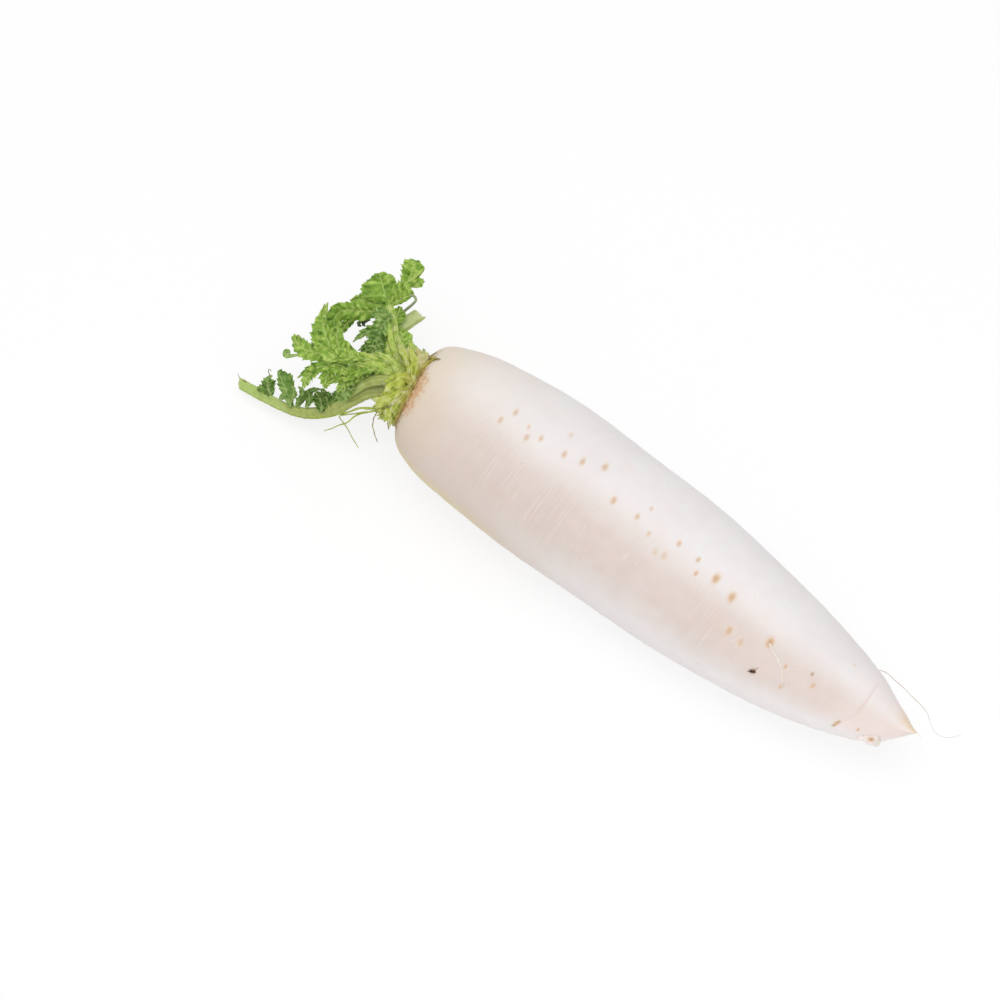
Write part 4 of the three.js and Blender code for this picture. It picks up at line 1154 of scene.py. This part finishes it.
def upright_leaf():
    """The upright leaf: its stalk, a second one beside it, a thin curled one, its blades and
    withered scraps."""
    line = stalk_route((4.4, 1.4), [(9.7, 5.1, 3.4), (15.8, 7.6, 2), (20.6, 10.5, 0.2),
                                    (24.4, 13.8, -1.6), (27.7, 17.4, -3.4), (32.1, 22.1, -5.4),
                                    (37.5, 26.4, -8)])
    stalk = stalk_skin(line, [6, 7.8, 8.4, 8, 7.2, 6.4, 5.4, 4.2], [3.6, 3.4, 3, 2.8, 2.4, 1.6], ribs=11,
                       rib_depth=0.05, crest=0.36, lumps=0.16, groove=0.15, tone=0.3, seed=71, blunt=False,
                       facing=UP_AND_NEAR, steps=120)
    beside = stalk_skin(stalk_route((6, 3), [(7.4, 7.4, 4.4), (12.6, 10.7, 2.4), (18.1, 13.3, 0),
                                             (22.8, 15.6, -2.4)]),
                        [4.4, 5, 5, 4, 2.2], [3, 2.8, 2.4, 1.6], ribs=9, rib_depth=0.05, crest=0.25,
                        lumps=0.26, tone=0.2, seed=73, facing=UP_AND_NEAR, steps=90)
    curled = stalk_skin(crown_point([(31.4, 24.4, -11.6), (30.6, 29, -11.2), (29, 33, -10.4),
                                     (28.4, 36, -9.6), (30.2, 37, -9), (32, 36.2, -8.8)]),
                        [1.5, 1.4, 1.3, 1.2], [1.3, 1.2, 1.1, 1.0], ribs=5, crest=0.08, seed=72, steps=60,
                        sides=20)
    piece("leaf_upright_stalk", [stalk, beside], STALK)
    piece("leaf_upright_curl", [curled], GREY_STALK)
    blades = lobes(
        # the big rounded lobe on the left
        ([(37.7, 26.4, -8.6), (41.4, 29.2, -8), (44.5, 31.7, -7.4), (47.7, 34.4, -7.4),
          (51.2, 37, -8.2)],
         [1.4, 6.0, 9.4, 10.6, 10.2, 8.4, 6.0, 2.6], [1.0, 4.2, 6.0, 6.8, 6.8, 6.2, 5.0, 2.4],
         dict(facing=crown_way(-0.3, 0.1, 1), teeth=10, tooth=(1.1, 0.5), lean=0.2, fold=0.1, cup=0.03,
              ruffle=0.7, pucker=0.5, veins=6, tone=0.0, vein_width=0.16, seed=81, steps=130,
              across=20)),
        # the right lobe, that turns up into the toothed finger
        ([(38.6, 26.5, -9), (38.4, 31, -8.6), (37.4, 36, -8.2), (36.8, 41, -8), (37.6, 45.6, -8.4),
          (39, 49.2, -9.4), (40.4, 52, -11)],
         [0.8, 3.0, 3.8, 3.2, 4.2, 5.4, 5.0, 1.6], [0.8, 2.6, 4.0, 3.8, 3.4, 4.6, 5.2, 2.2],
         dict(facing=crown_way(-0.4, -0.15, 1), teeth=9, tooth=(1.7, 0.3), lean=0.2, fold=0.15, ruffle=0.7,
              pucker=0.6, veins=8, tone=0.2, seed=82, steps=140, across=18)),
        # its lower part, whose pale edge sags
        ([(38.2, 26.5, -8.6), (35.6, 30.4, -8.4), (33.2, 34.2, -8.4), (30.9, 38.2, -9)],
         [1.6, 4.4, 4.8, 1.6], [0.8, 2.0, 1.8, 0.5],
         dict(facing=crown_way(-0.3, 0.1, 1), teeth=5, tooth=0.4, lean=0.3, ruffle=0.6, pucker=0.5,
              tone=0.1, seed=47, steps=90)),
        ([(35.4, 39.8, -10.2), (33.2, 43, -11), (31.8, 46.2, -12)], [0.8, 2.4, 0.9], [0.8, 2.4, 0.9],
         dict(facing=UP_AND_NEAR, teeth=3, tooth=0.5, ruffle=0.4, tone=0.6, seed=83, steps=50)),
        # the ruffle under the big lobe
        ([(39.9, 25.1, -7.8), (45.8, 23, -6.8), (51.5, 21.2, -6.6), (55.2, 18.2, -7.6)],
         [1.4, 5.2, 7.6, 6.4, 2.0], [0.8, 2.2, 2.6, 2.0, 0.6],
         dict(facing=crown_way(-0.2, -0.3, 1), teeth=12, tooth=0.9, ruffle=1.3, waves=4, pucker=0.7,
              veins=8, tone=0.25, seed=84)),
        # the arching lobe
        ([(37.4, 24.6, -8.6), (43, 20.2, -7.6), (48, 16.6, -6.8), (53.1, 14, -6.4), (56.5, 10.9, -6.8),
          (57.1, 6.7, -8.2), (55.4, 3.4, -10), (51.8, 1.2, -12)],
         [1.6, 3.6, 4.6, 4.6, 5.0, 5.4, 4.8, 3.8, 1.8], [1.6, 3.6, 4.2, 4.0, 3.8, 4.2, 4.0, 3.4, 1.8],
         dict(facing=crown_way(-0.4, -0.3, 1), teeth=13, tooth=0.45, ruffle=0.8, cup=0.06, pucker=0.6,
              veins=11, tone=0.05, seed=85, steps=150, across=16)),
        # its scalloped edge over the opening
        ([(47.6, 14.2, -8.4), (49.4, 11.8, -8.8), (50.8, 8.6, -9.2), (51.3, 5.4, -9.8), (51, 2.4, -10.6)],
         [0.8, 2.2, 2.4, 2.2, 0.8], [0.8, 2.0, 2.2, 2.0, 0.8],
         dict(facing=crown_way(-0.3, -0.2, 1), teeth=5, tooth=0.6, ruffle=0.9, waves=3, pucker=0.6,
              tone=-0.3, seed=63, steps=80)),
        # the pale edge of the finger
        ([(35.9, 41.2, -7.6), (34.8, 44.4, -7.4), (34, 47.5, -7.4), (33.7, 50.6, -8.2)],
         [0.5, 0.9, 0.8, 0.3], [0.3, 0.5, 0.5, 0.2],
         dict(facing=UP_AND_NEAR, teeth=3, tooth=0.2, ruffle=0.2, pucker=0.1, tone=1.5, seed=49,
              steps=60)),
        # the bit behind the stalk
        ([(29, 18.6, -9), (31.6, 24.8, -9.8), (33.4, 29.4, -10.6)], [1.6, 3.6, 1.0], [1.6, 3.8, 1.0],
         dict(facing=crown_way(-0.6, 0.2, 1), teeth=4, tooth=0.7, ruffle=0.5, tone=-0.25, seed=86,
              steps=50)),
    )
    piece("leaf_upright", blades, LEAF, "leaf_upright")
    tangle = lobes(
        ([(41.6, 16, -8), (43, 14.4, -8), (45.2, 12.4, -8), (44.9, 10.8, -8), (43.4, 11.2, -8)],
         [0.5, 1.0, 1.0, 0.3], [0.5, 1.0, 1.0, 0.3],
         dict(facing=crown_way(0.3, 0.4, 1), tooth=0.8, ruffle=0.5, tone=-2.2, seed=87, lean=0.2,
              steps=50)),
        ([(42.8, 14.8, -8), (43.2, 12.6, -8), (41.8, 11.8, -8)], [0.4, 0.8, 0.3], [0.4, 0.9, 0.3],
         dict(facing=crown_way(0.3, -0.4, 1), tooth=0.8, ruffle=0.5, tone=-2.2, seed=88, steps=40)),
        ([(33.4, 37.4, -9.6), (33.8, 34.4, -9.8), (34, 31.6, -10)], [0.5, 1.0, 0.3], [0.5, 0.8, 0.3],
         dict(facing=crown_way(0.2, 0.3, 1), tooth=0.8, ruffle=0.4, tone=-1.1, seed=89, steps=40)),
    )
    piece("leaf_upright_scraps", tangle, WITHERED)


def dark_leaf():
    """The dark leaf: a slim stalk and toothed lobes."""
    line = stalk_route((5, 1), [(8, 6, 1.5), (17, 9.4, 2), (24, 14, 2), (29.6, 20.6, 1)])
    stalk = stalk_skin(line, [3.6, 3.4, 3, 2], [2.6, 2.4, 2, 1.2], ribs=7, rib_depth=0.08, seed=91,
                       blunt=False, steps=80, facing=UP_AND_NEAR)
    piece("leaf_dark_stalk", [stalk], STALK)
    blades = lobes(
        ([(29.2, 23, 1.4), (30.7, 18.9, 2), (30.8, 14, 2), (29.8, 9.4, 1), (27.2, 4.4, 0)],
         [1.4, 3.8, 4.6, 4.4, 3.4, 1.0], [1.4, 3.6, 4.2, 3.8, 3.2, 1.0],
         dict(facing=crown_way(-0.4, 0.0, 1), teeth=9, tooth=1.3, ruffle=1.2, fold=0.25, pucker=0.8,
              veins=8, tone=0.1, seed=92, steps=120, across=16)),
        ([(30, 16.6, 2.4), (34.6, 11, 2), (37.4, 6.9, 0.8), (39.7, 2.2, -1.2)], [1.4, 2.0, 1.3, 0.2],
         [1.6, 2.4, 1.5, 0.2],
         dict(facing=crown_way(-0.1, -0.3, 1), teeth=4, tooth=1.3, ruffle=0.4, fold=0.3, tone=0.1,
              seed=93, steps=80)),
        ([(28.4, 12, 2), (30.9, 6.9, 1.4), (33.1, 3.1, 0), (35, 0.2, -1.2)], [1.4, 1.8, 1.1, 0.2],
         [1.5, 2.1, 1.2, 0.2],
         dict(facing=crown_way(-0.2, -0.2, 1), teeth=4, tooth=1.2, ruffle=0.4, fold=0.3, tone=-0.2,
              seed=94, steps=80)),
        ([(26.6, 8.6, 0.8), (30.2, 3.8, 0.4), (33.4, 0, -1)], [1.6, 2.0, 0.3], [1.6, 2.0, 0.3],
         dict(facing=crown_way(-0.3, 0.1, 1), teeth=4, tooth=1.1, ruffle=0.5, tone=-0.4, seed=95,
              steps=70)),
        ([(20, 11, 0.2), (23.6, 7.6, 0.4), (26.6, 4.9, 0.2), (30, 2.4, -0.6), (34.3, 1.7, -1.8)],
         [1.2, 3.0, 3.2, 2.4, 0.6], [1.2, 2.6, 2.8, 2.2, 0.6],
         dict(facing=crown_way(-0.3, 0.0, 1), teeth=6, tooth=1.0, ruffle=0.7, tone=0.0, seed=98,
              steps=90)),
        ([(29.6, 22.4, 1.2), (35.2, 21, 0.6), (39.4, 18, -0.8)], [1.6, 3.0, 0.8], [1.6, 3.0, 0.8],
         dict(facing=crown_way(-0.2, 0.2, 1), teeth=5, tooth=1.1, ruffle=0.8, pucker=0.6, tone=0.1,
              seed=96, steps=80)),
        ([(26, 14, 0.4), (23.4, 9, 0), (22.4, 4.6, -0.6)], [1.4, 2.4, 0.8], [1.4, 2.2, 0.8],
         dict(facing=crown_way(-0.3, 0.2, 1), teeth=5, tooth=1.1, ruffle=0.8, tone=-0.3, seed=97,
              steps=70)),
    )
    piece("leaf_dark", blades, DARK_LEAF, "leaf_dark")


def right_leaf():
    """The right leaf: one blade and two small lobes."""
    blades = [blade_skin(
        stalk_route((10, 0), [(8.5, 10.8, -0.8), (13.5, 12.6, -2.6), (18.1, 14.8, -4.6),
                              (21.9, 17.6, -6.4), (26.1, 20.8, -8.2)]),
        [1.4, 3.0, 4.4, 4.8, 4.2, 3.0, 0.6], [1.4, 2.4, 3.4, 4.2, 4.4, 4.0, 1.2],
        facing=crown_way(-0.5, 0.2, 1), teeth=6, tooth=(0.6, 0.4), ruffle=0.6, pucker=0.6, tone=0.25,
        veins=9, thick=0.8, seed=101, steps=120, across=15)]
    blades += lobes(
        ([(6, 14.4, 0), (11, 16, -2), (15.6, 17.6, -4)], [1.2, 2.4, 0.6], [1.2, 1.4, 0.5],
         dict(facing=UP_AND_NEAR, teeth=4, tooth=0.6, ruffle=0.6, tone=0.1, seed=103, steps=70)),
        ([(3.4, 15.4, 2), (6, 17.2, 1.2), (7.4, 18.6, 0.6)], [0.6, 0.8, 0.3], [0.6, 1.0, 0.3],
         dict(facing=UP_AND_NEAR, teeth=3, tooth=0.9, tone=-0.3, seed=102, steps=40)))
    piece("leaf_right", blades, LEAF, "leaf_right")


long_stalk()
broad_leaf()
upright_leaf()
dark_leaf()
right_leaf()

# --- Bare stalks and trimmed bases ----------------------------------------------------------------

BARE_STALKS = {
    "stalk_cut": ((9, -10.5), [(10, 8, -12.5), (20, 9.5, -15), (27.5, 12, -15.5), (30.2, 17.2, -14.2),
                               (29.3, 21.4, -15), (27.9, 25.6, -15.8), (25.7, 31.4, -17)],
                  [4.4, 4.8, 5.8, 6.6, 6.9, 6.8], [3.4, 3.4, 3.6, 3.6, 3.6, 3.6],
                  dict(ribs=8, rib_depth=0.03, crest=0.12, lumps=0.06, ragged=0.9, slant=0.25, groove=0.15,
                       steps=120)),
    "stalk_pale": ((-4, 7.5), [(8, -1.6, 6.4), (12.5, -4, 6), (18, -7.6, 4.4), (21.6, -11.4, 2.4),
                               (24.8, -16, 0), (27.6, -21.3, -3), (30.1, -26.2, -6.5)],
                   [4, 4.6, 5.2, 5.6, 5.2, 4, 2.2], [2.8, 2.8, 2.6, 2.4, 2, 1.6, 1],
                   dict(ribs=7, rib_depth=0.04, crest=0.15, lumps=0.08, ragged=0.5, steps=110, tone=0.1)),
    "stalk_inner_1": ((9, 3.5), [(8, 9.5, 4), (14, 12, 4.5), (19, 15.5, 4)], [3.6, 4.2, 3.6, 1.8],
                      [2.4, 2.4, 2.1, 1], dict(ribs=7, crest=0.22, lumps=0.2, tone=0.45)),
    "stalk_inner_2": ((12.8, 2), [(6, 13.3, 2), (11, 15, 2), (15, 18, 1.5)], [3.6, 4.0, 3.2, 1.8],
                      [2.6, 2.4, 2.1, 1], dict(ribs=7, crest=0.3)),
    "stalk_inner_3": ((0, 1), [(9, 0, 0.5), (17, 2, -0.5), (25, 4, -1.5)], [3.6, 4.0, 3.6, 1.8],
                      [2.6, 2.6, 2.2, 1], dict(ribs=7, crest=0.3, tone=-0.2)),
    "stalk_inner_4": ((1.5, -4), [(7, 1.5, -5), (13, 3, -6.5), (18, 5, -8.5)], [3.6, 3.6, 3, 1.8],
                      [2.8, 2.6, 2.1, 1], dict(ribs=7, crest=0.25, tone=-0.3)),
}


def bare_stalks():
    """Each stalk without a blade, as a piece of its own that stands for its CAD node."""
    for seed, (name, (seat, points, widths, depths, settings)) in enumerate(BARE_STALKS.items(), 110):
        made = stalk_skin(stalk_route(seat, points), widths, depths, seed=seed, **settings)
        finish = {"stalk_cut": PALE_STALK, "stalk_pale": OUTER_STALK}.get(name, STALK)
        piece(name, [made], finish, name)


# Torn sheaths on the near side, that lie one over another along the rim: route, widths, depth and
# tone. Those above the middle rise with the rim, and those below it hang down along it.
SHEATHS = {
    "stalk_base_1": ([(-3.6, 0.4, 14.2), (-1.2, 6, 14), (1.9, 9.6, 12.8), (5.8, 12.4, 11),
                      (9.4, 14.2, 9.4)], [3.4, 4, 4.2, 3.6, 2.2], 2, 0.0),
    "stalk_base_2": ([(-1.9, 2.2, 14.2), (0.9, 1.4, 15.2), (2.9, -1.8, 14.6), (4.5, -5.8, 13),
                      (5.8, -9.8, 11.4), (6.5, -12.6, 10)], [4.6, 6, 6.4, 6, 5, 3.6], 2.4, -0.1),
    "stalk_base_3": ([(-3.8, 0.2, 14.6), (-1.6, -4, 14.6), (0.9, -7.8, 13.2), (4.4, -11.8, 11),
                      (9, -15.8, 8)], [2.6, 3.8, 4.8, 5.4, 5], 2.2, 0.1),
    "stalk_base_4": ([(-4.3, -1.2, 14.6), (-3.6, -5.7, 13.6), (-1.6, -10.6, 11), (0, -15.4, 7.8),
                      (0.4, -19.9, 4.6)], [2.2, 3.6, 4.6, 5.4, 5.6], 2.4, 0.2),
    "sheath_right": ([(-4.8, 3.4, 13), (-2.6, 8.6, 12.2), (0, 12.6, 10.8), (3.6, 15, 9.2),
                      (6.6, 15.9, 8)], [3.4, 4.2, 4.6, 4, 2.4], 1.5, 0.9),
    "sheath_behind": ([(-4, 9.6, 11.6), (-2, 13.4, 9.8), (1.4, 16, 7.6), (4.8, 16.8, 5.6)],
                      [3, 4, 4, 2.4], 1.3, 0.5),
    "sheath_heart": ([(-3.2, 0.2, 14.6), (-0.4, 3.8, 13.8), (3, 7, 12), (7.1, 9.6, 10.2),
                      (11.1, 11.5, 8.6), (15, 13, 7)], [3, 3.8, 4, 3.8, 3.2, 2], 1.8, 0.35),
    "sheath_middle": ([(-4, 3, 14), (-2, 3.4, 15), (0.6, 2.8, 15.4), (3, 0.4, 14.8), (4.4, -2.6, 13.8)],
                      [3, 3.6, 3.4, 3, 2], 1.2, 0.6),
    "sheath_inner": ([(-1, 4.4, 11.6), (3, 1.4, 12.4), (7, -2.2, 11.2), (9.6, -6, 9.4)],
                     [5, 6, 5, 3], 1.6, -0.4),
    "sheath_over": ([(-3.9, 0.2, 15.2), (-2.2, -4.4, 15), (-0.6, -8.4, 13.4), (0.6, -12, 11.4)],
                    [1.6, 2.2, 2.4, 1.6], 1.0, 0.9),
    "sheath_low": ([(-4.7, -2.4, 13.6), (-4.9, -6.8, 12.2), (-4.4, -11.2, 9.8), (-3.4, -15.2, 6.8),
                    (-2.6, -19, 3.4)], [2.4, 3.6, 4, 3.8, 2.4], 1.4, -0.5),
    "sheath_lowest": ([(-3, -13, 7.6), (-1.6, -17, 4.6), (-0.6, -19, 1.8)], [3, 4.4, 3], 1.4, -0.2),
    "sheath_left": ([(-1, -7, 12.2), (2.6, -11.2, 9.6), (6, -14.8, 6.2), (8.2, -18.2, 3.2)],
                    [2.6, 4.6, 5.6, 5], 1.6, -0.5),
}
BASE_RING = 13.8
FAR_BASES = {5: (181, 7.5, 6), 6: (214, 8, 4), 7: (246, 8.5, 4), 8: (278, 7.5, 3)}
FAR_SHEATHS = [  # bearing, ring, length, lean, width
    (308, 14.2, 5.5, 1, 6.5), (334, 14.6, 5, 0.8, 6.5), (2, 15.0, 4.5, 0.4, 6), (198, 15.4, 7, 4, 6.5),
    (230, 15.2, 7.5, 3.5, 6.5), (262, 15.0, 7, 3, 6.5), (292, 15.0, 6, 2, 6),
]


def sheath_skin(line, widths, depth, facing, seed, tone=0.0, ribs=7):
    """A stalk skin with a torn sheath's ribs, quilt and ragged end, thinner towards that end, with strong
    painted shade on its two edges.
    """
    return stalk_skin(line, widths, [depth, depth, depth * 0.8, depth * 0.6], facing=facing, seed=seed,
                      ribs=ribs, rib_depth=0.04, crest=0.17, lumps=0.26, ragged=1.2, steps=80, sides=64,
                      tone=tone, shade=1.0)


def far_base_skin(bearing, ring, length, lean, width, depth, seed):
    """A broad ribbed scale at the rim of the crown that faces away from the disc's middle: its
    route rises from its seat and leans out towards its torn end."""
    angle = math.radians(bearing)
    seat = (ring * math.cos(angle), ring * math.sin(angle))
    rise = crown_seat(*seat)

    def away(out, extra):
        """A place this far out from the seat, and this much further from the crown's middle."""
        return (rise + out, (ring + extra) * math.cos(angle), (ring + extra) * math.sin(angle))

    line = stalk_route(seat, [away(length / 2, lean / 6), away(length, lean)])
    facing = ACROSS * math.cos(angle) + NEAR * math.sin(angle)
    return sheath_skin(line, [width, width * 0.92, width * 0.8, width * 0.62], depth, facing, seed)


def trimmed_bases():
    """The trimmed leaf bases and the torn sheaths: those on the near side from their routes, and
    those round the rest of the rim from a bearing, a length and a lean."""
    loose = []
    for seed, (name, (points, widths, depth, tone)) in enumerate(SHEATHS.items(), 130):
        middle = np.array(points, float)[len(points) // 2]
        facing = crown_way(-0.35, middle[1] * 0.8, middle[2])
        made = sheath_skin(crown_point(points), widths, depth, facing, seed, tone)
        if name.startswith("stalk_base"):
            piece(name, [made], BASE, name)
        elif name in ("sheath_right", "sheath_behind"):
            piece(name, [made], DRY_SHEATH)
        else:
            loose.append(made)
    for number, (bearing, length, lean) in FAR_BASES.items():
        made = far_base_skin(bearing, BASE_RING, length, lean, 7.8, 2.8, 140 + number)
        piece(f"stalk_base_{number}", [made], BASE, f"stalk_base_{number}")
    for seed, (bearing, ring, length, lean, width) in enumerate(FAR_SHEATHS, 150):
        loose.append(far_base_skin(bearing, ring, length, lean, width, 1.4, seed))
    piece("torn_sheaths", loose, BASE)


bare_stalks()
trimmed_bases()

# --- Fibres, hairs and scraps ---------------------------------------------------------------------

FIBRES = [
    [(7.4, -15.4, 6.4), (9.7, -18.1, 4.6), (16.1, -22.2, 3), (22, -27.8, 0.6), (28.7, -33.4, -3.4),
     (38.8, -38.9, -7.6), (44.5, -38.4, -8.6)],
    [(7, -16.6, 5.4), (8.9, -19.2, 4.6), (13.6, -23.4, 3.2), (17.5, -29.2, 1), (21.2, -34.8, 0),
     (26.4, -40.5, -2)],
    [(10, -20.4, 4), (16.8, -25, 1.4), (23.3, -30.6, 0), (19.4, -32.1, -1.4), (15.4, -34.4, -3),
     (8.4, -38, -5.4)],
    [(6.6, -14.6, 4.6), (7.8, -17.5, 3), (8.2, -23, 0), (5.9, -26.8, -2), (1.8, -30.4, -4)],
]
TIP_HAIR = [
    (138.3, 14.8, 39.2), (145.6, 13.9, 38.4), (151.8, 13, 37.6), (157.8, 12.2, 37), (162.4, 11, 36),
    (166.1, 8.4, 35), (171.5, 6, 34.6), (177, 7.2, 35), (181, 11.6, 36),
]
SECOND_TIP_HAIR = [(161, 2.6, 31), (163.4, 2.4, 31.2), (165.6, 1.8, 31.2), (167, 1.4, 31.2)]
SIDE_ROOTLET = [(216, 116.5), (219.8, 121), (223.5, 125.2), (226.8, 131.8), (229.2, 139.8), (230.8, 147)]

SCAR_BRISTLES = [  # broken rootlets in the dark scar: distance from the crown and angle
    [(213.8, 149.6), (214.8, 149.2), (216.0, 148.4)],
    [(214.2, 147.2), (215.6, 147.2), (217.4, 146.2)],
    [(215.2, 149.4), (216.4, 145.6), (217.2, 140.4)],
    [(214.8, 148.4), (216.0, 148.2), (217.2, 147.6)],
]


def fibres():
    """The four fibres at the crown, each thinner towards its end."""
    for index, points in enumerate(FIBRES, 1):
        finish = BROWN_FIBRE if index == 4 else FIBRE
        thick = (1.3, 1.1, 0.7, 0.6)[index - 1]
        made = thread_skin(crown_point(points), thick, 0.4, seed=170 + index, steps=120)
        piece(f"fibre_{index}", [made], finish, f"fibre_{index}")


def hairs():
    """The hairs at the tip, the rootlet on the side and the bristles of the dark scar."""
    tip = thread_skin(np.vstack([skin_point(257.0, 24.0, 0.3), TIP_HAIR]), 0.36, 0.14, steps=140,
                      seed=181)
    piece("tip_rootlet", [tip], HAIR, "tip_rootlet")
    second = thread_skin(SECOND_TIP_HAIR, 0.35, 0.2, steps=40, seed=183, wander=0.1)
    piece("second_tip_hair", [second], PALE_HAIR)
    distance, angle = np.array(SIDE_ROOTLET, float).T
    side = thread_skin(skin_point(distance, angle, 0.25), 1.1, 0.4, seed=182, wander=0.1)
    piece("side_rootlet", [side], PALE_HAIR, "side_rootlet")
    bristles = []
    for seed, places in enumerate(SCAR_BRISTLES, 184):
        distance, angle = np.array(places, float).T
        bristles.append(thread_skin(skin_point(distance, angle, 0.12), 0.5, 0.25, steps=24, seed=seed,
                                    wander=0.15))
    piece("scar_bristles", bristles, BRISTLE)


def rim_scraps():
    """Ragged shreds of old leaf bases that follow the rim of the crown and lie partly over it."""
    shreds = []
    for seed, (first, last, clear, widths) in enumerate((
        (72, 128, 0.5, [0.6, 1.5, 2.0, 1.6, 2.2, 1.2]),
        (112, 166, 0.4, [0.8, 1.8, 1.4, 2.2, 1.8, 0.8]),
        (150, 212, 0.4, [0.8, 2.0, 1.6, 2.2, 1.4, 0.6]),
        (96, 140, 1.1, [0.4, 1.2, 0.9, 1.4, 0.5]),
    ), 200):
        angle = np.linspace(first, last, 9)
        line = skin_point(np.full(9, clear), angle, 0.1) + 0.35 * ripple(seed, angle / 60, 1.5)[:, None] * OUT
        facing = unit(crown_way(0, *(np.cos(np.radians(angle[4] + bearing)) for bearing in (-24, -114))))
        shreds.append(stalk_skin(line, widths, [0.7, 1.0, 0.9, 0.6], facing=facing, ribs=7, crest=0.12,
                                 lumps=0.3, ragged=0.8, seed=seed, steps=90, sides=28, shade=0.8))
    piece("rim_scraps", shreds, DRY)


def dried_scale():
    """Two dried strips that lie on the shoulder at the top of the rim, and a curl of fibre."""
    strips = []
    for seed, (places, widths) in enumerate((
        ([(0.9, 58), (2.0, 65), (3.6, 70.5), (6.2, 73.5)], [2.4, 4.4, 4.0, 1.2]),
        ([(0.9, 94), (1.6, 86), (2.4, 79), (4.2, 74.5)], [1.6, 3.2, 3.6, 1.4]),
    ), 190):
        distance, angle = np.array(places, float).T
        line = skin_point(distance, angle, 0.55)
        facing = unit(skin_point(distance[1], angle[1], 5.0) - skin_point(distance[1], angle[1]))
        strips.append(stalk_skin(line, widths, [0.8, 0.7, 0.6, 0.4], facing=facing, ribs=9, crest=0.14,
                                 lumps=0.2, ragged=0.9, seed=seed, steps=60, shade=0.8))
    curl = thread_skin(crown_point([(0.6, -19, 3.4), (-0.6, -21, 2.6), (-1.8, -22.4, 2)]), 0.9, 0.4,
                       seed=191, steps=30)
    piece("dry_scale", strips, DRY, "dry_scale")
    piece("dry_curl", [curl], BROWN_FIBRE)


fibres()
hairs()
rim_scraps()
dried_scale()

# --- Stage and light ------------------------------------------------------------------------------


def make_stage():
    """A large pale floor that keeps the radish's shadow."""
    half = 3.0
    mesh = bpy.data.meshes.new("floor")
    mesh.from_pydata([(-half, -half, 0), (half, -half, 0), (half, half, 0), (-half, half, 0)], [],
                     [(0, 1, 2, 3)])
    floor = bpy.data.objects.new("floor", mesh)
    bpy.context.scene.collection.objects.link(floor)
    made, tree, shader = material_with("floor", Roughness=0.9, Specular_IOR_Level=0.0,
                                       Emission_Color=(1, 1, 1, 1))
    seen = add(tree, "ShaderNodeLightPath").outputs["Is Camera Ray"]
    plug(tree, shader.inputs["Base Color"],
         blend_colour(tree, seen, (0.9, 0.9, 0.9, 1), (0.25, 0.25, 0.25, 1)))
    plug(tree, shader.inputs["Emission Strength"], calc(tree, "MULTIPLY", seen, 0.77))
    mesh.materials.append(made)


def make_light():
    """White surroundings, a large soft lamp overhead and a low one that fills the tip's underside."""
    world = bpy.data.worlds.new("studio")
    bpy.context.scene.world = world
    world.use_nodes = True
    tree = world.node_tree
    background = next(n for n in tree.nodes if n.type == "BACKGROUND")
    background.inputs["Color"].default_value = (1, 1, 1, 1)
    path = add(tree, "ShaderNodeLightPath").outputs
    seen = calc(tree, "MAXIMUM", path["Is Camera Ray"],
                calc(tree, "MAXIMUM", path["Is Glossy Ray"], path["Is Transmission Ray"]))
    plug(tree, background.inputs["Strength"], calc(tree, "MULTIPLY_ADD", seen, 0.42, 0.58))
    for name, size, power, place, target in (
        ("softbox", 1.3, 7.0, (-0.05, -0.1, 1.3), (0, 0, 0)),
        ("low fill", 0.4, 0.3, (0.33, -0.3, 0.12), (0.13, 0, 0.03)),
    ):
        lamp = bpy.data.objects.new(name, bpy.data.lights.new(name, "AREA"))
        bpy.context.scene.collection.objects.link(lamp)
        lamp.data.shape = "DISK"
        lamp.data.size = size
        lamp.data.energy = power
        lamp.location = place
        lamp.rotation_euler = (Vector(place) - Vector(target)).to_track_quat("Z", "Y").to_euler()


make_stage()
make_light()
bpy.context.scene.view_settings.view_transform = "Standard"
